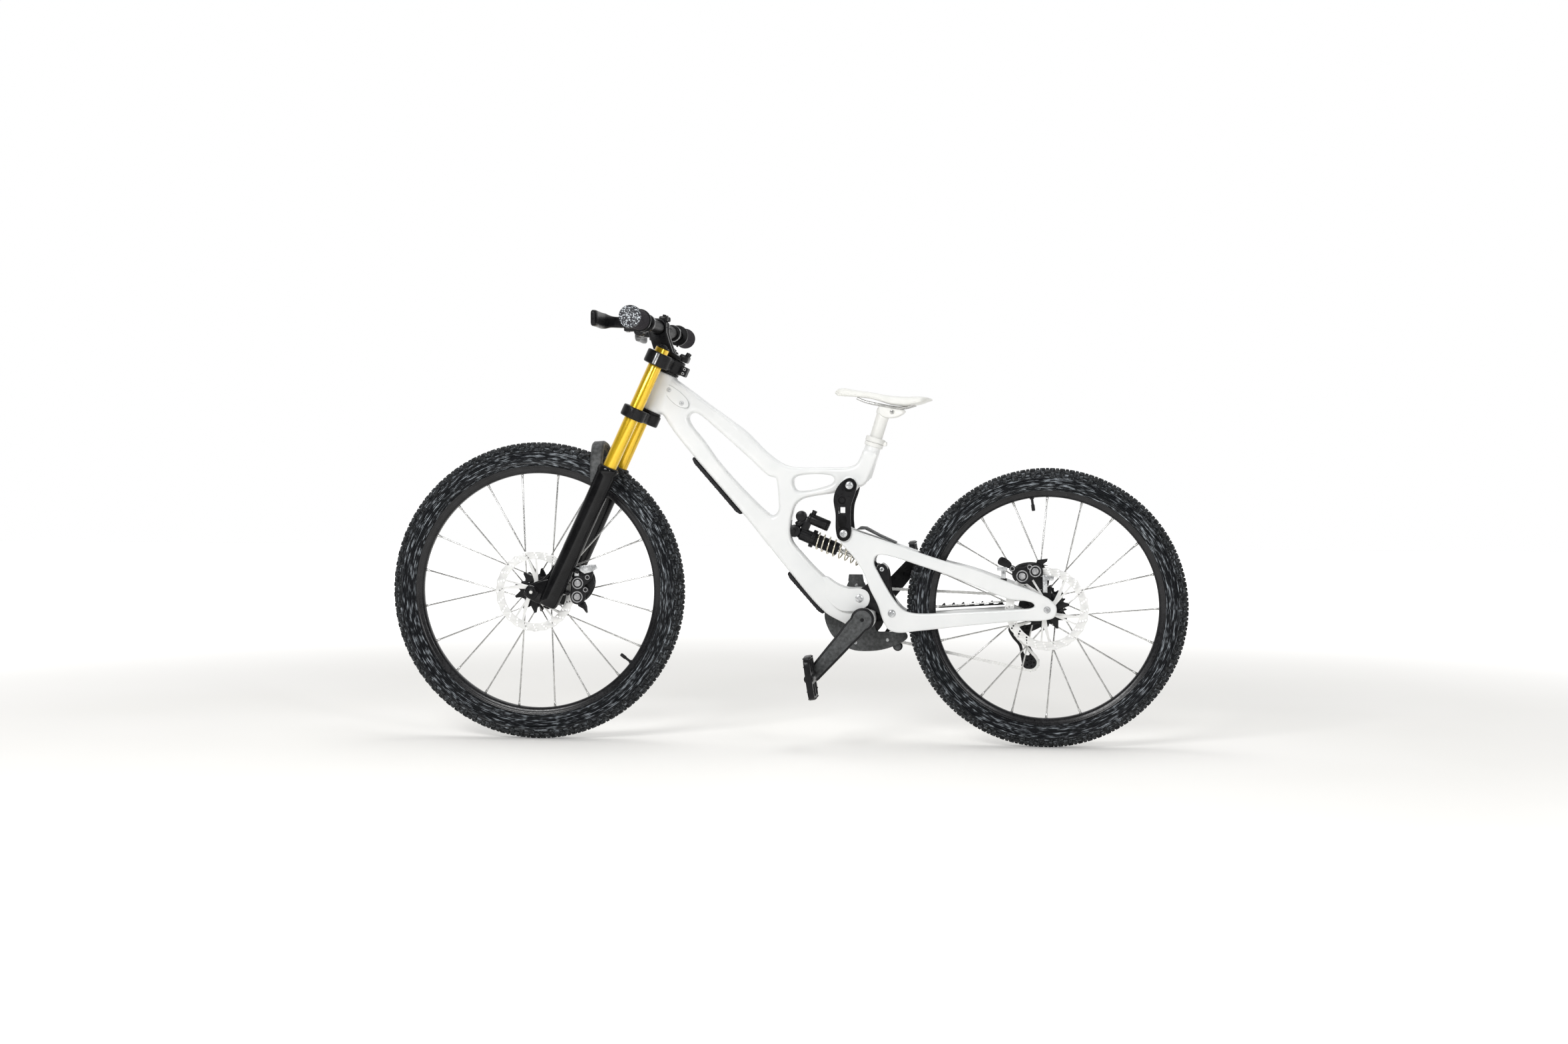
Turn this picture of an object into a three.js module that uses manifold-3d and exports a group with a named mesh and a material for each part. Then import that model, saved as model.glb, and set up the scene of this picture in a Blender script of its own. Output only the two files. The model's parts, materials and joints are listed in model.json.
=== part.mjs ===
// Full-suspension mountain bike with a dual-crown fork, in millimetres.
// Inside the group X = 0 is the front axle, -X is forward, -Y is the rider's left, Z = 0 is the ground.
import * as THREE from "three";
import { mergeVertices } from "three/addons/utils/BufferGeometryUtils.js";
import Module from "manifold-3d";

const wasm = await Module();
wasm.setup();

// ---- driving dimensions ----
const WHEELBASE = 1274.2;
const FRONT_WHEEL = { tyre: 374.3, rim: 313, bed: 296 };
const REAR_WHEEL = { tyre: 343.6, rim: 287, bed: 272 };
const TYRE_HALF_WIDTH = 31;
const HEAD_ANGLE = THREE.MathUtils.degToRad(65.5);
const FORK_OFFSET = 72.7; // steering axis to front axle
const CROWN_OFFSET = 24; // steering axis to the fork legs
const LEG_SPACING = 139;
const HEAD_TUBE = { bottom: 531.5, top: 634, radius: 29, bore: 17 };
const STEERER_RADIUS = 14.3;
const STANCHION_RADIUS = 17.5;
const STANCHION_FOOT = 180;
const LEG_RADIUS = 25;
const LEG_COLLAR_RADIUS = 27;
const LOWER_CROWN = { bottom: 497, top: 525, clamp: 31 };
const UPPER_CROWN = { bottom: 641, top: 675, clamp: 33 };
const LOWERS_TOP = 362;
const BAR = { x: 309, z: 1034, length: 800, clampRadius: 16, endRadius: 13, taperEnd: 150 };
const GRIP = { length: 132, radius: 24, collar: 27 };
const LEVER_PIVOT = { x: 262, y: 172, radius: 3.5 };
const LEVER_HEIGHT = { low: 1027, high: 1049 };
const FRAME_HALF_WIDTH = 23;
const BOTTOM_BRACKET = [825, 313];
const BRACKET_SHELL = { radius: 24, halfWidth: 36.5, flange: 42 };
const SEAT_TUBE = { x: 849, z: 750, angle: THREE.MathUtils.degToRad(73), radius: 20 };
const SEATPOST_RADIUS = 16;
const UPPER_LINK_PIVOT = [791, 643];
const UPPER_LINK_EYE = [777, 524];
const LOWER_LINK_PIVOT = [815, 364];
const LOWER_LINK_EYE = [896, 328];
const SHOCK_EYE = [648, 530];
const SHOCK_LINK_EYE = [870, 436];
const SWINGARM = { inner: 32, outer: 48, splayFrom: 925, splay: 0.118 };
const PIVOT_BOLT_RADIUS = 8;
const SWING_PIN_RADIUS = 9;
const FRONT_AXLE_RADIUS = 9;
const REAR_AXLE_RADIUS = 7.5;
const SHOCK = { bodyEnd: 120, bodyRadius: 16, pinRadius: 6, collar: 48, perch: 204 };
const SPRING = { radius: 22, wire: 2, turns: 7 };
const CRANK_LENGTH = 180;
const CRANK_ANGLE = THREE.MathUtils.degToRad(228.8);
const CHAIN_LINE = 55;
const CHAINRING_TEETH = 36;
const CHAIN_PITCH = 12.7;
const REAR_SPROCKET_RADIUS = 24.5;
const IDLER = { x: 905, z: 240, radius: 18.2 };
const UPPER_PULLEY = { x: 1214, z: 279, radius: 16 };
const LOWER_PULLEY = { x: 1235, z: 203, radius: 20 };
const PEDAL = { inner: 97, outer: 197, halfLength: 53, halfThickness: 8 };
const ROTOR = { radius: 102, band: 22, thickness: 2, arms: 5, bore: 17.1, frontY: -38, rearY: -55 };
const SPOKES = { pairs: 10, radius: 1.8, crossing: 102, flange: 29.3, stagger: 2.2 };
const GAP = 0.3; // between pieces that touch
const ROUND = 16; // sides of an ordinary round piece
const WHEEL_ROUND = 36; // sides of a wheel
const THROUGH = 120; // half length of a bore that runs right through

// The chain is a plain strip here, and every toothed piece stays just inside it.
const CHAIN_SECTION = [[-3, -4.2], [3, -4.2], [3, 4.2], [-3, 4.2]];
const TOOTH_INSET = 5.4;

const CHAINRING_RADIUS = CHAIN_PITCH / (2 * Math.sin(Math.PI / CHAINRING_TEETH));
const FRONT_AXLE = [0, FRONT_WHEEL.tyre];
const REAR_AXLE = [WHEELBASE, REAR_WHEEL.tyre];
const HALF_LEGS = LEG_SPACING / 2;

// ---- colours ----
const paint = (color, roughness, metalness = 0) =>
  new THREE.MeshStandardMaterial({ color, roughness, metalness });
const WHITE = paint(0xeceff0, 0.45);
const BLACK = paint(0x17181a, 0.4);
const DARK_GREY = paint(0x2c2d30, 0.6);
const GRIP_BLACK = paint(0x1c1b1e, 0.95);
const GOLD = paint(0xe3a514, 0.25, 0.9);
const SILVER = paint(0xc9ccd0, 0.3, 0.9);
const STEEL = paint(0x8d9095, 0.35, 0.9);
const TYRE = paint(0x141516, 0.85);

// ---- solids ----
function solid(geometry) {
  const bare = new THREE.BufferGeometry();
  bare.setAttribute("position", geometry.getAttribute("position"));
  bare.setIndex(geometry.index);
  const merged = mergeVertices(bare, 1e-4);
  const position = merged.getAttribute("position");
  const corner = [new THREE.Vector3(), new THREE.Vector3(), new THREE.Vector3()];
  const kept = [];
  let volume = 0;
  for (let i = 0; i < merged.index.count; i += 3) {
    const [a, b, c] = [0, 1, 2].map((k) => merged.index.getX(i + k));
    if (a === b || b === c || c === a) continue;
    corner.forEach((point, k) => point.fromBufferAttribute(position, [a, b, c][k]));
    volume += corner[0].dot(corner[1].cross(corner[2]));
    kept.push([a, b, c]);
  }
  const facingOut = volume < 0 ? kept.map(([a, b, c]) => [a, c, b]) : kept;
  const mesh = new wasm.Mesh({
    numProp: 3,
    vertProperties: new Float32Array(position.array),
    triVerts: new Uint32Array(facingOut.flat()),
  });
  mesh.merge();
  return new wasm.Manifold(mesh);
}

function geometryOf(body) {
  const mesh = body.getMesh();
  const positions = new Float32Array(mesh.numVert * 3);
  for (let i = 0; i < mesh.numVert; i++) {
    const start = i * mesh.numProp;
    positions.set(mesh.vertProperties.subarray(start, start + 3), i * 3);
  }
  const geometry = new THREE.BufferGeometry();
  geometry.setAttribute("position", new THREE.BufferAttribute(positions, 3));
  geometry.setIndex(new THREE.BufferAttribute(new Uint32Array(mesh.triVerts), 1));
  geometry.computeVertexNormals();
  return geometry;
}

// The same solid with every point moved by a function of its position.
function reshaped(body, move) {
  const mesh = body.getMesh();
  const geometry = geometryOf(body);
  const position = geometry.getAttribute("position");
  const point = new THREE.Vector3();
  const vertices = new Float32Array(position.count * 3);
  for (let i = 0; i < position.count; i++) {
    move(point.fromBufferAttribute(position, i)).toArray(vertices, i * 3);
  }
  return new wasm.Manifold(new wasm.Mesh({ numProp: 3, vertProperties: vertices, triVerts: mesh.triVerts }));
}

const join = (...bodies) => bodies.reduce((sum, body) => sum.add(body));
const cut = (body, ...tools) => tools.reduce((left, tool) => left.subtract(tool), body);

function rod(from, to, radius, { endRadius = radius, sides = ROUND } = {}) {
  const start = new THREE.Vector3(...from);
  const end = new THREE.Vector3(...to);
  const along = end.clone().sub(start);
  const geometry = new THREE.CylinderGeometry(endRadius, radius, along.length(), sides);
  const turn = new THREE.Quaternion();
  turn.setFromUnitVectors(new THREE.Vector3(0, 1, 0), along.clone().normalize());
  geometry.applyQuaternion(turn);
  geometry.translate(...start.add(end).multiplyScalar(0.5).toArray());
  return solid(geometry);
}

// A disc or pin across the bike, centred on a side-view point [x, z].
const across = ([x, z], from, to, radius, options) => rod([x, from, z], [x, to, z], radius, options);

function block([x0, y0, z0], [x1, y1, z1]) {
  const geometry = new THREE.BoxGeometry(x1 - x0, y1 - y0, z1 - z0);
  geometry.translate((x0 + x1) / 2, (y0 + y1) / 2, (z0 + z1) / 2);
  return solid(geometry);
}

function smoothLoop(points, samples) {
  const corners = points.map(([x, z]) => new THREE.Vector3(x, z, 0));
  const curve = new THREE.CatmullRomCurve3(corners, true, "centripetal");
  return curve.getSpacedPoints(samples).slice(0, -1).map((p) => [p.x, p.y]);
}

function circle([x, z], radius, samples = ROUND) {
  const step = (2 * Math.PI) / samples;
  return Array.from({ length: samples }, (_, i) => [
    x + radius * Math.cos(i * step),
    z + radius * Math.sin(i * step),
  ]);
}

// A plate whose outline lies in the side view, from yLow to yHigh across the bike.
function plateGeometry(outline, yLow, yHigh, { holes = [], bevel = 0, bevelSegments = 2 } = {}) {
  const toPoints = (loop) => {
    const points = loop.map(([x, z]) => new THREE.Vector2(x, z));
    return THREE.ShapeUtils.isClockWise(points) ? points.reverse() : points;
  };
  const shape = new THREE.Shape(toPoints(outline));
  holes.forEach((hole) => shape.holes.push(new THREE.Path(toPoints(hole))));
  const geometry = new THREE.ExtrudeGeometry(shape, {
    depth: yHigh - yLow - 2 * bevel,
    bevelEnabled: bevel > 0,
    bevelThickness: bevel,
    bevelSize: bevel,
    bevelOffset: -bevel,
    bevelSegments,
    curveSegments: 1,
  });
  geometry.rotateX(Math.PI / 2);
  geometry.translate(0, yHigh - bevel, 0);
  return geometry;
}
const plate = (...args) => solid(plateGeometry(...args));

// A ring or shaft turned about the Y axis through a side-view point, from [radius, y] points.
function turned([x, z], profile, sides = ROUND) {
  const geometry = new THREE.LatheGeometry(profile.map(([r, y]) => new THREE.Vector2(r, y)), sides);
  geometry.translate(x, 0, z);
  return solid(geometry);
}

// A bar swept along points [x, y, z] whose section is given across and outwards.
function swept(section, points, steps) {
  const path = new THREE.CatmullRomCurve3(points.map((p) => new THREE.Vector3(...p)), false, "centripetal");
  const shape = new THREE.Shape(section.map(([x, y]) => new THREE.Vector2(x, y)));
  const options = { steps, extrudePath: path, bevelEnabled: false, curveSegments: 1 };
  return solid(new THREE.ExtrudeGeometry(shape, options));
}

const bike = new THREE.Group();
function add(name, body, material, parent = bike) {
  const mesh = new THREE.Mesh(geometryOf(body), material);
  mesh.name = name;
  parent.add(mesh);
}

// ---- the fork's own frame: X back from the steering axis, Z up along it ----
const fork = new THREE.Group();
const LEAN = Math.PI / 2 - HEAD_ANGLE;
fork.rotation.y = LEAN;
fork.position.set(FORK_OFFSET * Math.cos(LEAN), 0, FRONT_AXLE[1] - FORK_OFFSET * Math.sin(LEAN));
bike.add(fork);

// A point of the fork's frame as a side-view point of the bike.
function fromFork(back, up) {
  const point = new THREE.Vector3(back, 0, up);
  point.applyAxisAngle(new THREE.Vector3(0, 1, 0), LEAN).add(fork.position);
  return [point.x, point.z];
}

// ---- main frame ----
const headAxis = (up) => {
  const [x, z] = fromFork(0, up);
  return [x, 0, z];
};

function seatTubePoint(up) {
  const { x, z, angle } = SEAT_TUBE;
  return [x + up * Math.cos(angle), 0, z + up * Math.sin(angle)];
}

const FRAME_OUTLINE = [
  [300, 905], [322, 920], [343, 911], [393, 877], [430, 849], [494, 803], [531, 775], [585, 722],
  [626, 694], [658, 687], [722, 687], [786, 689], [805, 697], [817, 719], [823, 733], [860, 722],
  [855, 707], [838, 664], [824, 643], [802, 636], [748, 623], [703, 616], [671, 608], [655, 595],
  [648, 576], [643, 551], [645, 507], [671, 475], [705, 438], [739, 408], [761, 393], [782, 388],
  [816, 381], [836, 373], [847, 358], [852, 340], [851, 312], [843, 291], [825, 282], [797, 288],
  [775, 301], [727, 328], [633, 434], [519, 574], [397, 714], [362, 756], [345, 778], [330, 800],
  [319, 818], [296, 831],
];
const MAIN_WINDOW = [
  [384, 811], [396, 823], [408, 820], [464, 774], [532, 714], [590, 663], [603, 662], [608, 640],
  [611, 605], [611, 580], [597, 566], [582, 576], [532, 623], [464, 697], [419, 758], [392, 791],
];
const SMALL_WINDOW = [
  [652, 662], [744, 666], [751, 656], [741, 645], [657, 630], [649, 645],
];
const SHOCK_POCKET = [[626, 506], [700, 470], [720, 530], [660, 562], [628, 558]];

function mainFrame() {
  const half = FRAME_HALF_WIDTH;
  const shell = plate(smoothLoop(FRAME_OUTLINE, 58), -half, half, {
    holes: [smoothLoop(MAIN_WINDOW, 24), smoothLoop(SMALL_WINDOW, 10)],
    bevel: 8,
    bevelSegments: 1,
  });
  const headTube = rod(headAxis(HEAD_TUBE.bottom), headAxis(HEAD_TUBE.top), HEAD_TUBE.radius);
  const seatTube = rod(seatTubePoint(-90), seatTubePoint(12), SEAT_TUBE.radius);
  const { radius, halfWidth } = BRACKET_SHELL;
  const bracketShell = across(BOTTOM_BRACKET, -halfWidth, halfWidth, radius);
  const upperBoss = across(UPPER_LINK_PIVOT, -48.2, 48.2, 17);
  const lowerBoss = across(LOWER_LINK_PIVOT, -half - 0.5, half + 0.5, 16);
  const shockBoss = across(SHOCK_EYE, -half, half, 16);
  const solidFrame = join(shell, headTube, seatTube, bracketShell, upperBoss, lowerBoss, shockBoss);
  return cut(
    solidFrame,
    rod(headAxis(HEAD_TUBE.bottom - 5), headAxis(HEAD_TUBE.top + 5), HEAD_TUBE.bore),
    rod(seatTubePoint(-97), seatTubePoint(20), SEATPOST_RADIUS + GAP),
    across(BOTTOM_BRACKET, -THROUGH, THROUGH, 20),
    across(UPPER_LINK_PIVOT, -THROUGH, THROUGH, PIVOT_BOLT_RADIUS + GAP),
    across(LOWER_LINK_PIVOT, -THROUGH, THROUGH, PIVOT_BOLT_RADIUS + GAP),
    across(SHOCK_EYE, -THROUGH, THROUGH, SHOCK.pinRadius + GAP),
    plate(SHOCK_POCKET, -13, 13),
  );
}
add("main_frame", mainFrame(), WHITE);

// Bearing cups between the head tube and the crowns.
function headsetCup(low, high) {
  const bore = STEERER_RADIUS + 1.3;
  return cut(rod(headAxis(low), headAxis(high), 28), rod(headAxis(low - 1), headAxis(high + 1), bore));
}
const CUP_CLEARANCE = 0.8;
add("headset_cup_lower", headsetCup(LOWER_CROWN.top + CUP_CLEARANCE, HEAD_TUBE.bottom - GAP), BLACK);
add("headset_cup_upper", headsetCup(HEAD_TUBE.top + GAP, UPPER_CROWN.bottom - CUP_CLEARANCE), BLACK);

// Stone guards stand off the underside of the down tube.
function downTubeGuard(start, end) {
  const along = new THREE.Vector2(end[0] - start[0], end[1] - start[1]).normalize();
  const off = ([x, z], clearance, inset) => [
    x - along.y * clearance + along.x * inset,
    z + along.x * clearance + along.y * inset,
  ];
  const outline = [off(start, 2, 0), off(end, 2, 0), off(end, 10, -14), off(start, 10, 14)];
  return plate(outline, -17, 17);
}
add("down_tube_guard_upper", downTubeGuard([521, 571.5], [397, 713]), BLACK);
add("down_tube_guard_lower", downTubeGuard([728, 325.5], [637, 428]), BLACK);

function cablePortCover() {
  const corners = [[342, 890], [356, 884], [385, 852], [384, 836], [362, 838], [338, 872]];
  return plate(smoothLoop(corners, 16), -FRAME_HALF_WIDTH - 3, -FRAME_HALF_WIDTH - GAP);
}
add("cable_port_cover", cablePortCover(), WHITE);

function seatClamp() {
  const ring = rod(seatTubePoint(-12), seatTubePoint(11), 25);
  const ears = block([869, -9, 752], [888, 9, 765]);
  return cut(join(ring, ears), rod(seatTubePoint(-20), seatTubePoint(32), SEAT_TUBE.radius + GAP));
}
add("seat_clamp", seatClamp(), WHITE);

// Bearing unit in the frame's shell, with a flange outside each end.
function bottomBracket() {
  const bore = 13;
  const barrel = 19.6;
  const rim = 22.5;
  const { flange } = BRACKET_SHELL;
  const shoulder = BRACKET_SHELL.halfWidth + GAP + 0.1;
  return turned(BOTTOM_BRACKET, [
    [bore, -flange], [rim, -flange], [rim, -shoulder], [barrel, -shoulder], [barrel, shoulder],
    [rim, shoulder], [rim, flange], [bore, flange], [bore, -flange],
  ]);
}
add("bottom_bracket", bottomBracket(), BLACK);

// Through-bolts that the links turn on.
function pivotBolt(centre, reach, headWidth) {
  const shank = PIVOT_BOLT_RADIUS;
  const head = shank + 4;
  const half = [[shank, 0], [shank, reach], [head, reach], [head, reach + headWidth], [0, reach + headWidth]];
  const otherHalf = half.slice(1).map(([r, y]) => [r, -y]).reverse();
  return turned(centre, [...otherHalf, ...half.slice(1)]);
}
add("upper_pivot_bolt", pivotBolt(UPPER_LINK_PIVOT, 56, 3.5), BLACK);
add("lower_pivot_bolt", pivotBolt(LOWER_LINK_PIVOT, 31.5, 0.9), STEEL);

// ---- seatpost and saddle ----
const SADDLE_OUTLINE = [
  [750, 874], [763, 883], [801, 878], [841, 874], [891, 863], [928, 861], [960, 862], [982, 860],
  [992, 853], [975, 846], [953, 840], [925, 837], [889, 840], [841, 857], [800, 862], [762, 864],
];
function saddle() {
  const nose = 19;
  const tail = 68;
  const halfWidth = (x) => THREE.MathUtils.lerp(nose, tail, THREE.MathUtils.smoothstep(x, 800, 965));
  const geometry = plateGeometry(smoothLoop(SADDLE_OUTLINE, 48), -1, 1, { bevel: 0.3, bevelSegments: 1 });
  const position = geometry.getAttribute("position");
  for (let i = 0; i < position.count; i++) {
    position.setY(i, position.getY(i) * halfWidth(position.getX(i)));
  }
  return solid(geometry);
}
add("saddle", saddle(), WHITE);

// The post with its head and the cradle that holds the saddle.
function seatpost() {
  const tube = rod(seatTubePoint(-92), seatTubePoint(84), SEATPOST_RADIUS);
  const cradle = [
    [859, 828], [862, 844], [880, 838], [917, 832], [926, 826], [915, 815], [890, 808], [866, 814],
  ];
  return join(tube, plate(cradle, -21, 21));
}
add("seatpost", seatpost(), WHITE);

// ---- steering: crowns, stanchions, stem and bar ----
const legAxis = (side, up) => [-CROWN_OFFSET, side * HALF_LEGS, up];

function crown({ bottom, top, clamp }, hubRadius) {
  const clamps = [-1, 1].map((side) => rod(legAxis(side, bottom), legAxis(side, top), clamp));
  const hub = rod([0, 0, bottom], [0, 0, top], hubRadius);
  const bridge = block([-CROWN_OFFSET - 20, -HALF_LEGS, bottom], [8, HALF_LEGS, top]);
  const bores = [-1, 1].map((side) =>
    rod(legAxis(side, bottom - 1), legAxis(side, top + 1), STANCHION_RADIUS + GAP),
  );
  const steererBore = rod([0, 0, bottom - 1], [0, 0, top + 1], STEERER_RADIUS + GAP);
  return cut(join(hub, bridge, ...clamps), ...bores, steererBore);
}
add("lower_crown", crown(LOWER_CROWN, 31), BLACK, fork);
add("upper_crown", crown(UPPER_CROWN, 32), BLACK, fork);
add("steerer", rod([0, 0, LOWER_CROWN.bottom + 1], [0, 0, UPPER_CROWN.top - 1], STEERER_RADIUS), STEEL, fork);

for (const [side, name] of [[-1, "stanchion_left"], [1, "stanchion_right"]]) {
  const tube = rod(legAxis(side, STANCHION_FOOT), legAxis(side, UPPER_CROWN.top + 3), STANCHION_RADIUS);
  add(name, tube, GOLD, fork);
}

// The bar's centre in the fork's frame.
const barInFork = new THREE.Vector3(BAR.x, 0, BAR.z)
  .sub(fork.position)
  .applyAxisAngle(new THREE.Vector3(0, 1, 0), -LEAN);

function stem() {
  const { x, z } = barInFork;
  const foot = UPPER_CROWN.top + GAP;
  const profile = [
    [-52, foot], [18, foot], [18, foot + 9], [-20, foot + 14], [x + 22, z - 6],
    [x, z + 20], [x - 22, z + 4], [x - 16, z - 20],
  ];
  const arms = plate(profile, -26, 26, { bevel: 2, bevelSegments: 1 });
  const ring = across([x, z], -26, 26, 26);
  const relief = block([x - 40, -7, foot + 12], [x + 60, 7, z + 40]);
  const slot = cut(relief, across([x, z], -8, 8, 22));
  return cut(join(arms, ring), slot, across([x, z], -40, 40, BAR.clampRadius + GAP));
}
add("stem", stem(), BLACK, fork);

function handlebar() {
  const { x, z, clampRadius, endRadius, taperEnd } = BAR;
  const straight = 60;
  const middle = across([x, z], -straight, straight, clampRadius);
  const sides = [-1, 1].map((side) =>
    join(
      rod([x, side * (straight - 1), z], [x, side * taperEnd, z], clampRadius, { endRadius }),
      rod([x, side * (taperEnd - 1), z], [x, side * (BAR.length / 2 - 3), z], endRadius),
    ),
  );
  return join(middle, ...sides);
}
add("handlebar", handlebar(), BLACK);

function grip(side) {
  const end = BAR.length / 2;
  const start = end - GRIP.length;
  const bore = BAR.endRadius + GAP;
  const { radius, collar } = GRIP;
  const profile = [
    [bore, start], [collar, start], [collar, start + 7], [radius, start + 9], [radius, end - 2],
    [radius - 2, end], [0, end], [0, end - 2], [bore, end - 2], [bore, start],
  ];
  return turned([BAR.x, BAR.z], profile.map(([r, y]) => [r, side * y]));
}

// Brake master cylinder: a clamp round the bar, a reservoir ahead of it and the lever's fork.
function brakeMaster(side) {
  const centre = [BAR.x, BAR.z];
  const span = (a, b) => [Math.min(side * a, side * b), Math.max(side * a, side * b)];
  const [clampLow, clampHigh] = span(176, 196);
  const [bodyLow, bodyHigh] = span(150, 196);
  const clamp = across(centre, clampLow, clampHigh, 22);
  const body = block([272, bodyLow, 1018], [300, bodyHigh, 1040]);
  const cylinder = rod([280, side * 110, 1029], [280, side * 152, 1029], 12);
  const [earLow, earHigh] = span(160, 184);
  const foot = 1014;
  const top = 1055;
  const ears = [[foot, LEVER_HEIGHT.low - 1], [LEVER_HEIGHT.high + 1, top]].map(([low, high]) =>
    block([252, earLow, low], [276, earHigh, high]),
  );
  const spine = block([274, earLow, foot], [284, earHigh, top]);
  const { x, radius } = LEVER_PIVOT;
  const y = side * LEVER_PIVOT.y;
  const pin = rod([x, y, foot + 2], [x, y, top - 2], radius, { sides: 12 });
  const bore = across(centre, -BAR.length / 2, BAR.length / 2, BAR.endRadius + GAP);
  return cut(join(clamp, body, cylinder, spine, ...ears, pin), bore);
}

function brakeLever(side) {
  const outline = [
    [269, 168], [268, 178], [258, 184], [232, 200], [220, 225], [217, 330], [212, 337], [204, 336],
    [204, 222], [212, 192], [250, 160], [262, 161],
  ];
  const shape = new THREE.Shape(outline.map(([x, y]) => new THREE.Vector2(x, side * y)));
  const depth = LEVER_HEIGHT.high - LEVER_HEIGHT.low;
  const geometry = new THREE.ExtrudeGeometry(shape, { depth, bevelEnabled: false });
  geometry.translate(0, 0, LEVER_HEIGHT.low);
  const { x, radius } = LEVER_PIVOT;
  const y = side * LEVER_PIVOT.y;
  const bore = rod([x, y, LEVER_HEIGHT.low - 5], [x, y, LEVER_HEIGHT.high + 5], radius + GAP, { sides: 12 });
  return cut(solid(geometry), bore);
}

for (const [side, word] of [[-1, "left"], [1, "right"]]) {
  add("grip_" + word, grip(side), GRIP_BLACK);
  add("brake_master_" + word, brakeMaster(side), BLACK);
  add("brake_lever_" + word, brakeLever(side), BLACK);
}

// ---- fork lowers: legs, arch and dropouts ----
const axleInFork = [-FORK_OFFSET, 0];
const DROPOUT = [[-88, -14], [-70, -19], [-30, -16], [-10, -10], [-10, 70], [-30, 84], [-84, 17], [-91, 4]];

function forkLowers() {
  const legs = [-1, 1].map((side) => {
    const leg = rod(legAxis(side, -16), legAxis(side, LOWERS_TOP - 12), LEG_RADIUS);
    const collar = rod(legAxis(side, LOWERS_TOP - 13), legAxis(side, LOWERS_TOP), LEG_COLLAR_RADIUS);
    const [low, high] = side < 0 ? [-82, -57] : [57, 82];
    const dropout = plate(DROPOUT, low + 3, high - 3);
    return join(leg, collar, dropout, across(axleInFork, low, high, 18));
  });
  const archPath = [
    [-38, -69.5, 318], [-52, -68, 345], [-66, -58, 374], [-78, -36, 396], [-84, 0, 402],
    [-78, 36, 396], [-66, 58, 374], [-52, 68, 345], [-38, 69.5, 318],
  ];
  const arch = swept([[-6.5, -15], [6.5, -15], [6.5, 15], [-6.5, 15]], archPath, 20);
  const mounts = [28, 88].map((up) => block([-12, -66, up], [12.5, -50, up + 12]));
  const bores = [-1, 1].map((side) =>
    rod(legAxis(side, 60), legAxis(side, LOWERS_TOP + 1), STANCHION_RADIUS + 2 * GAP),
  );
  const axleBore = across(axleInFork, -THROUGH, THROUGH, FRONT_AXLE_RADIUS + GAP);
  return cut(join(...legs, arch, ...mounts), ...bores, axleBore);
}
add("fork_lowers", forkLowers(), BLACK, fork);
add("front_axle", across(axleInFork, -86, 86, FRONT_AXLE_RADIUS), BLACK, fork);

// Brake calipers straddle the disc: the disc's path is cleared out of the body.
function caliper(outline, centre, rotorY, yLow, yHigh) {
  const body = plate(outline, yLow, yHigh, { bevel: 3, bevelSegments: 1 });
  const pistons = across(centre.piston, yLow - 3, yHigh + 3, 13);
  const slot = 2.4;
  const path = across(centre.axle, rotorY - slot, rotorY + slot, ROTOR.radius + 4, { sides: 32 });
  return cut(join(body, pistons), path);
}
const frontCaliper = caliper(
  [[13, 22], [36, 18], [56, 40], [58, 82], [38, 106], [13, 104]],
  { piston: [34, 62], axle: axleInFork },
  ROTOR.frontY, -56, -28.5,
);
add("front_caliper", frontCaliper, SILVER, fork);

// ---- wheels ----
function tyre(centre, { tyre: outer, rim }) {
  const seat = rim + GAP;
  const half = TYRE_HALF_WIDTH;
  const outside = [[seat, 14.5], [outer - half - 4, half], [outer - 12, 25], [outer, 12]];
  const inside = [[outer - 7, 10], [outer - half, half - 5], [seat, 10]];
  const otherSide = (points) => points.map(([r, y]) => [r, -y]).reverse();
  const loop = [...outside, ...otherSide(outside), ...otherSide(inside), ...inside, outside[0]];
  return turned(centre, loop, WHEEL_ROUND);
}

function rim(centre, { rim: outer, bed }) {
  const profile = [
    [bed, -9], [bed + 4, -14], [outer, -14.5], [outer, 14.5], [bed + 4, 14], [bed, 9], [bed, -9],
  ];
  return turned(centre, profile, WHEEL_ROUND);
}

// Each pair of spokes crosses once, so every spoke is tangent to a small circle round the hub.
function spokedHub([x, z], profile, bed, flangeY, firstAngle) {
  const { pairs, crossing, flange, stagger } = SPOKES;
  const spread = Math.PI / (2 * pairs);
  const rimRadius = bed * Math.cos(Math.PI / WHEEL_ROUND) - 2 * GAP;
  const spokes = [];
  for (let pair = 0; pair < pairs; pair++) {
    const centreAngle = firstAngle + (2 * Math.PI * pair) / pairs;
    const flangeSide = pair % 2 ? flangeY : -flangeY;
    for (const lean of [-1, 1]) {
      const outer = new THREE.Vector2(rimRadius * Math.sin(lean * spread), rimRadius * Math.cos(spread));
      const inward = new THREE.Vector2(0, crossing).sub(outer).normalize();
      const closest = -outer.dot(inward);
      const tangent = outer.clone().addScaledVector(inward, closest);
      const back = Math.sqrt(flange ** 2 - tangent.lengthSq()) - 2;
      const inner = tangent.addScaledVector(inward, -back);
      const place = (p, y) => {
        p.rotateAround(new THREE.Vector2(), -centreAngle);
        return [x + p.x, y, z + p.y];
      };
      const atHub = place(inner, flangeSide + lean * stagger);
      spokes.push(rod(atHub, place(outer, 0), SPOKES.radius, { sides: 4 }));
    }
  }
  return join(turned([x, z], profile, 12), ...spokes);
}

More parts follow.
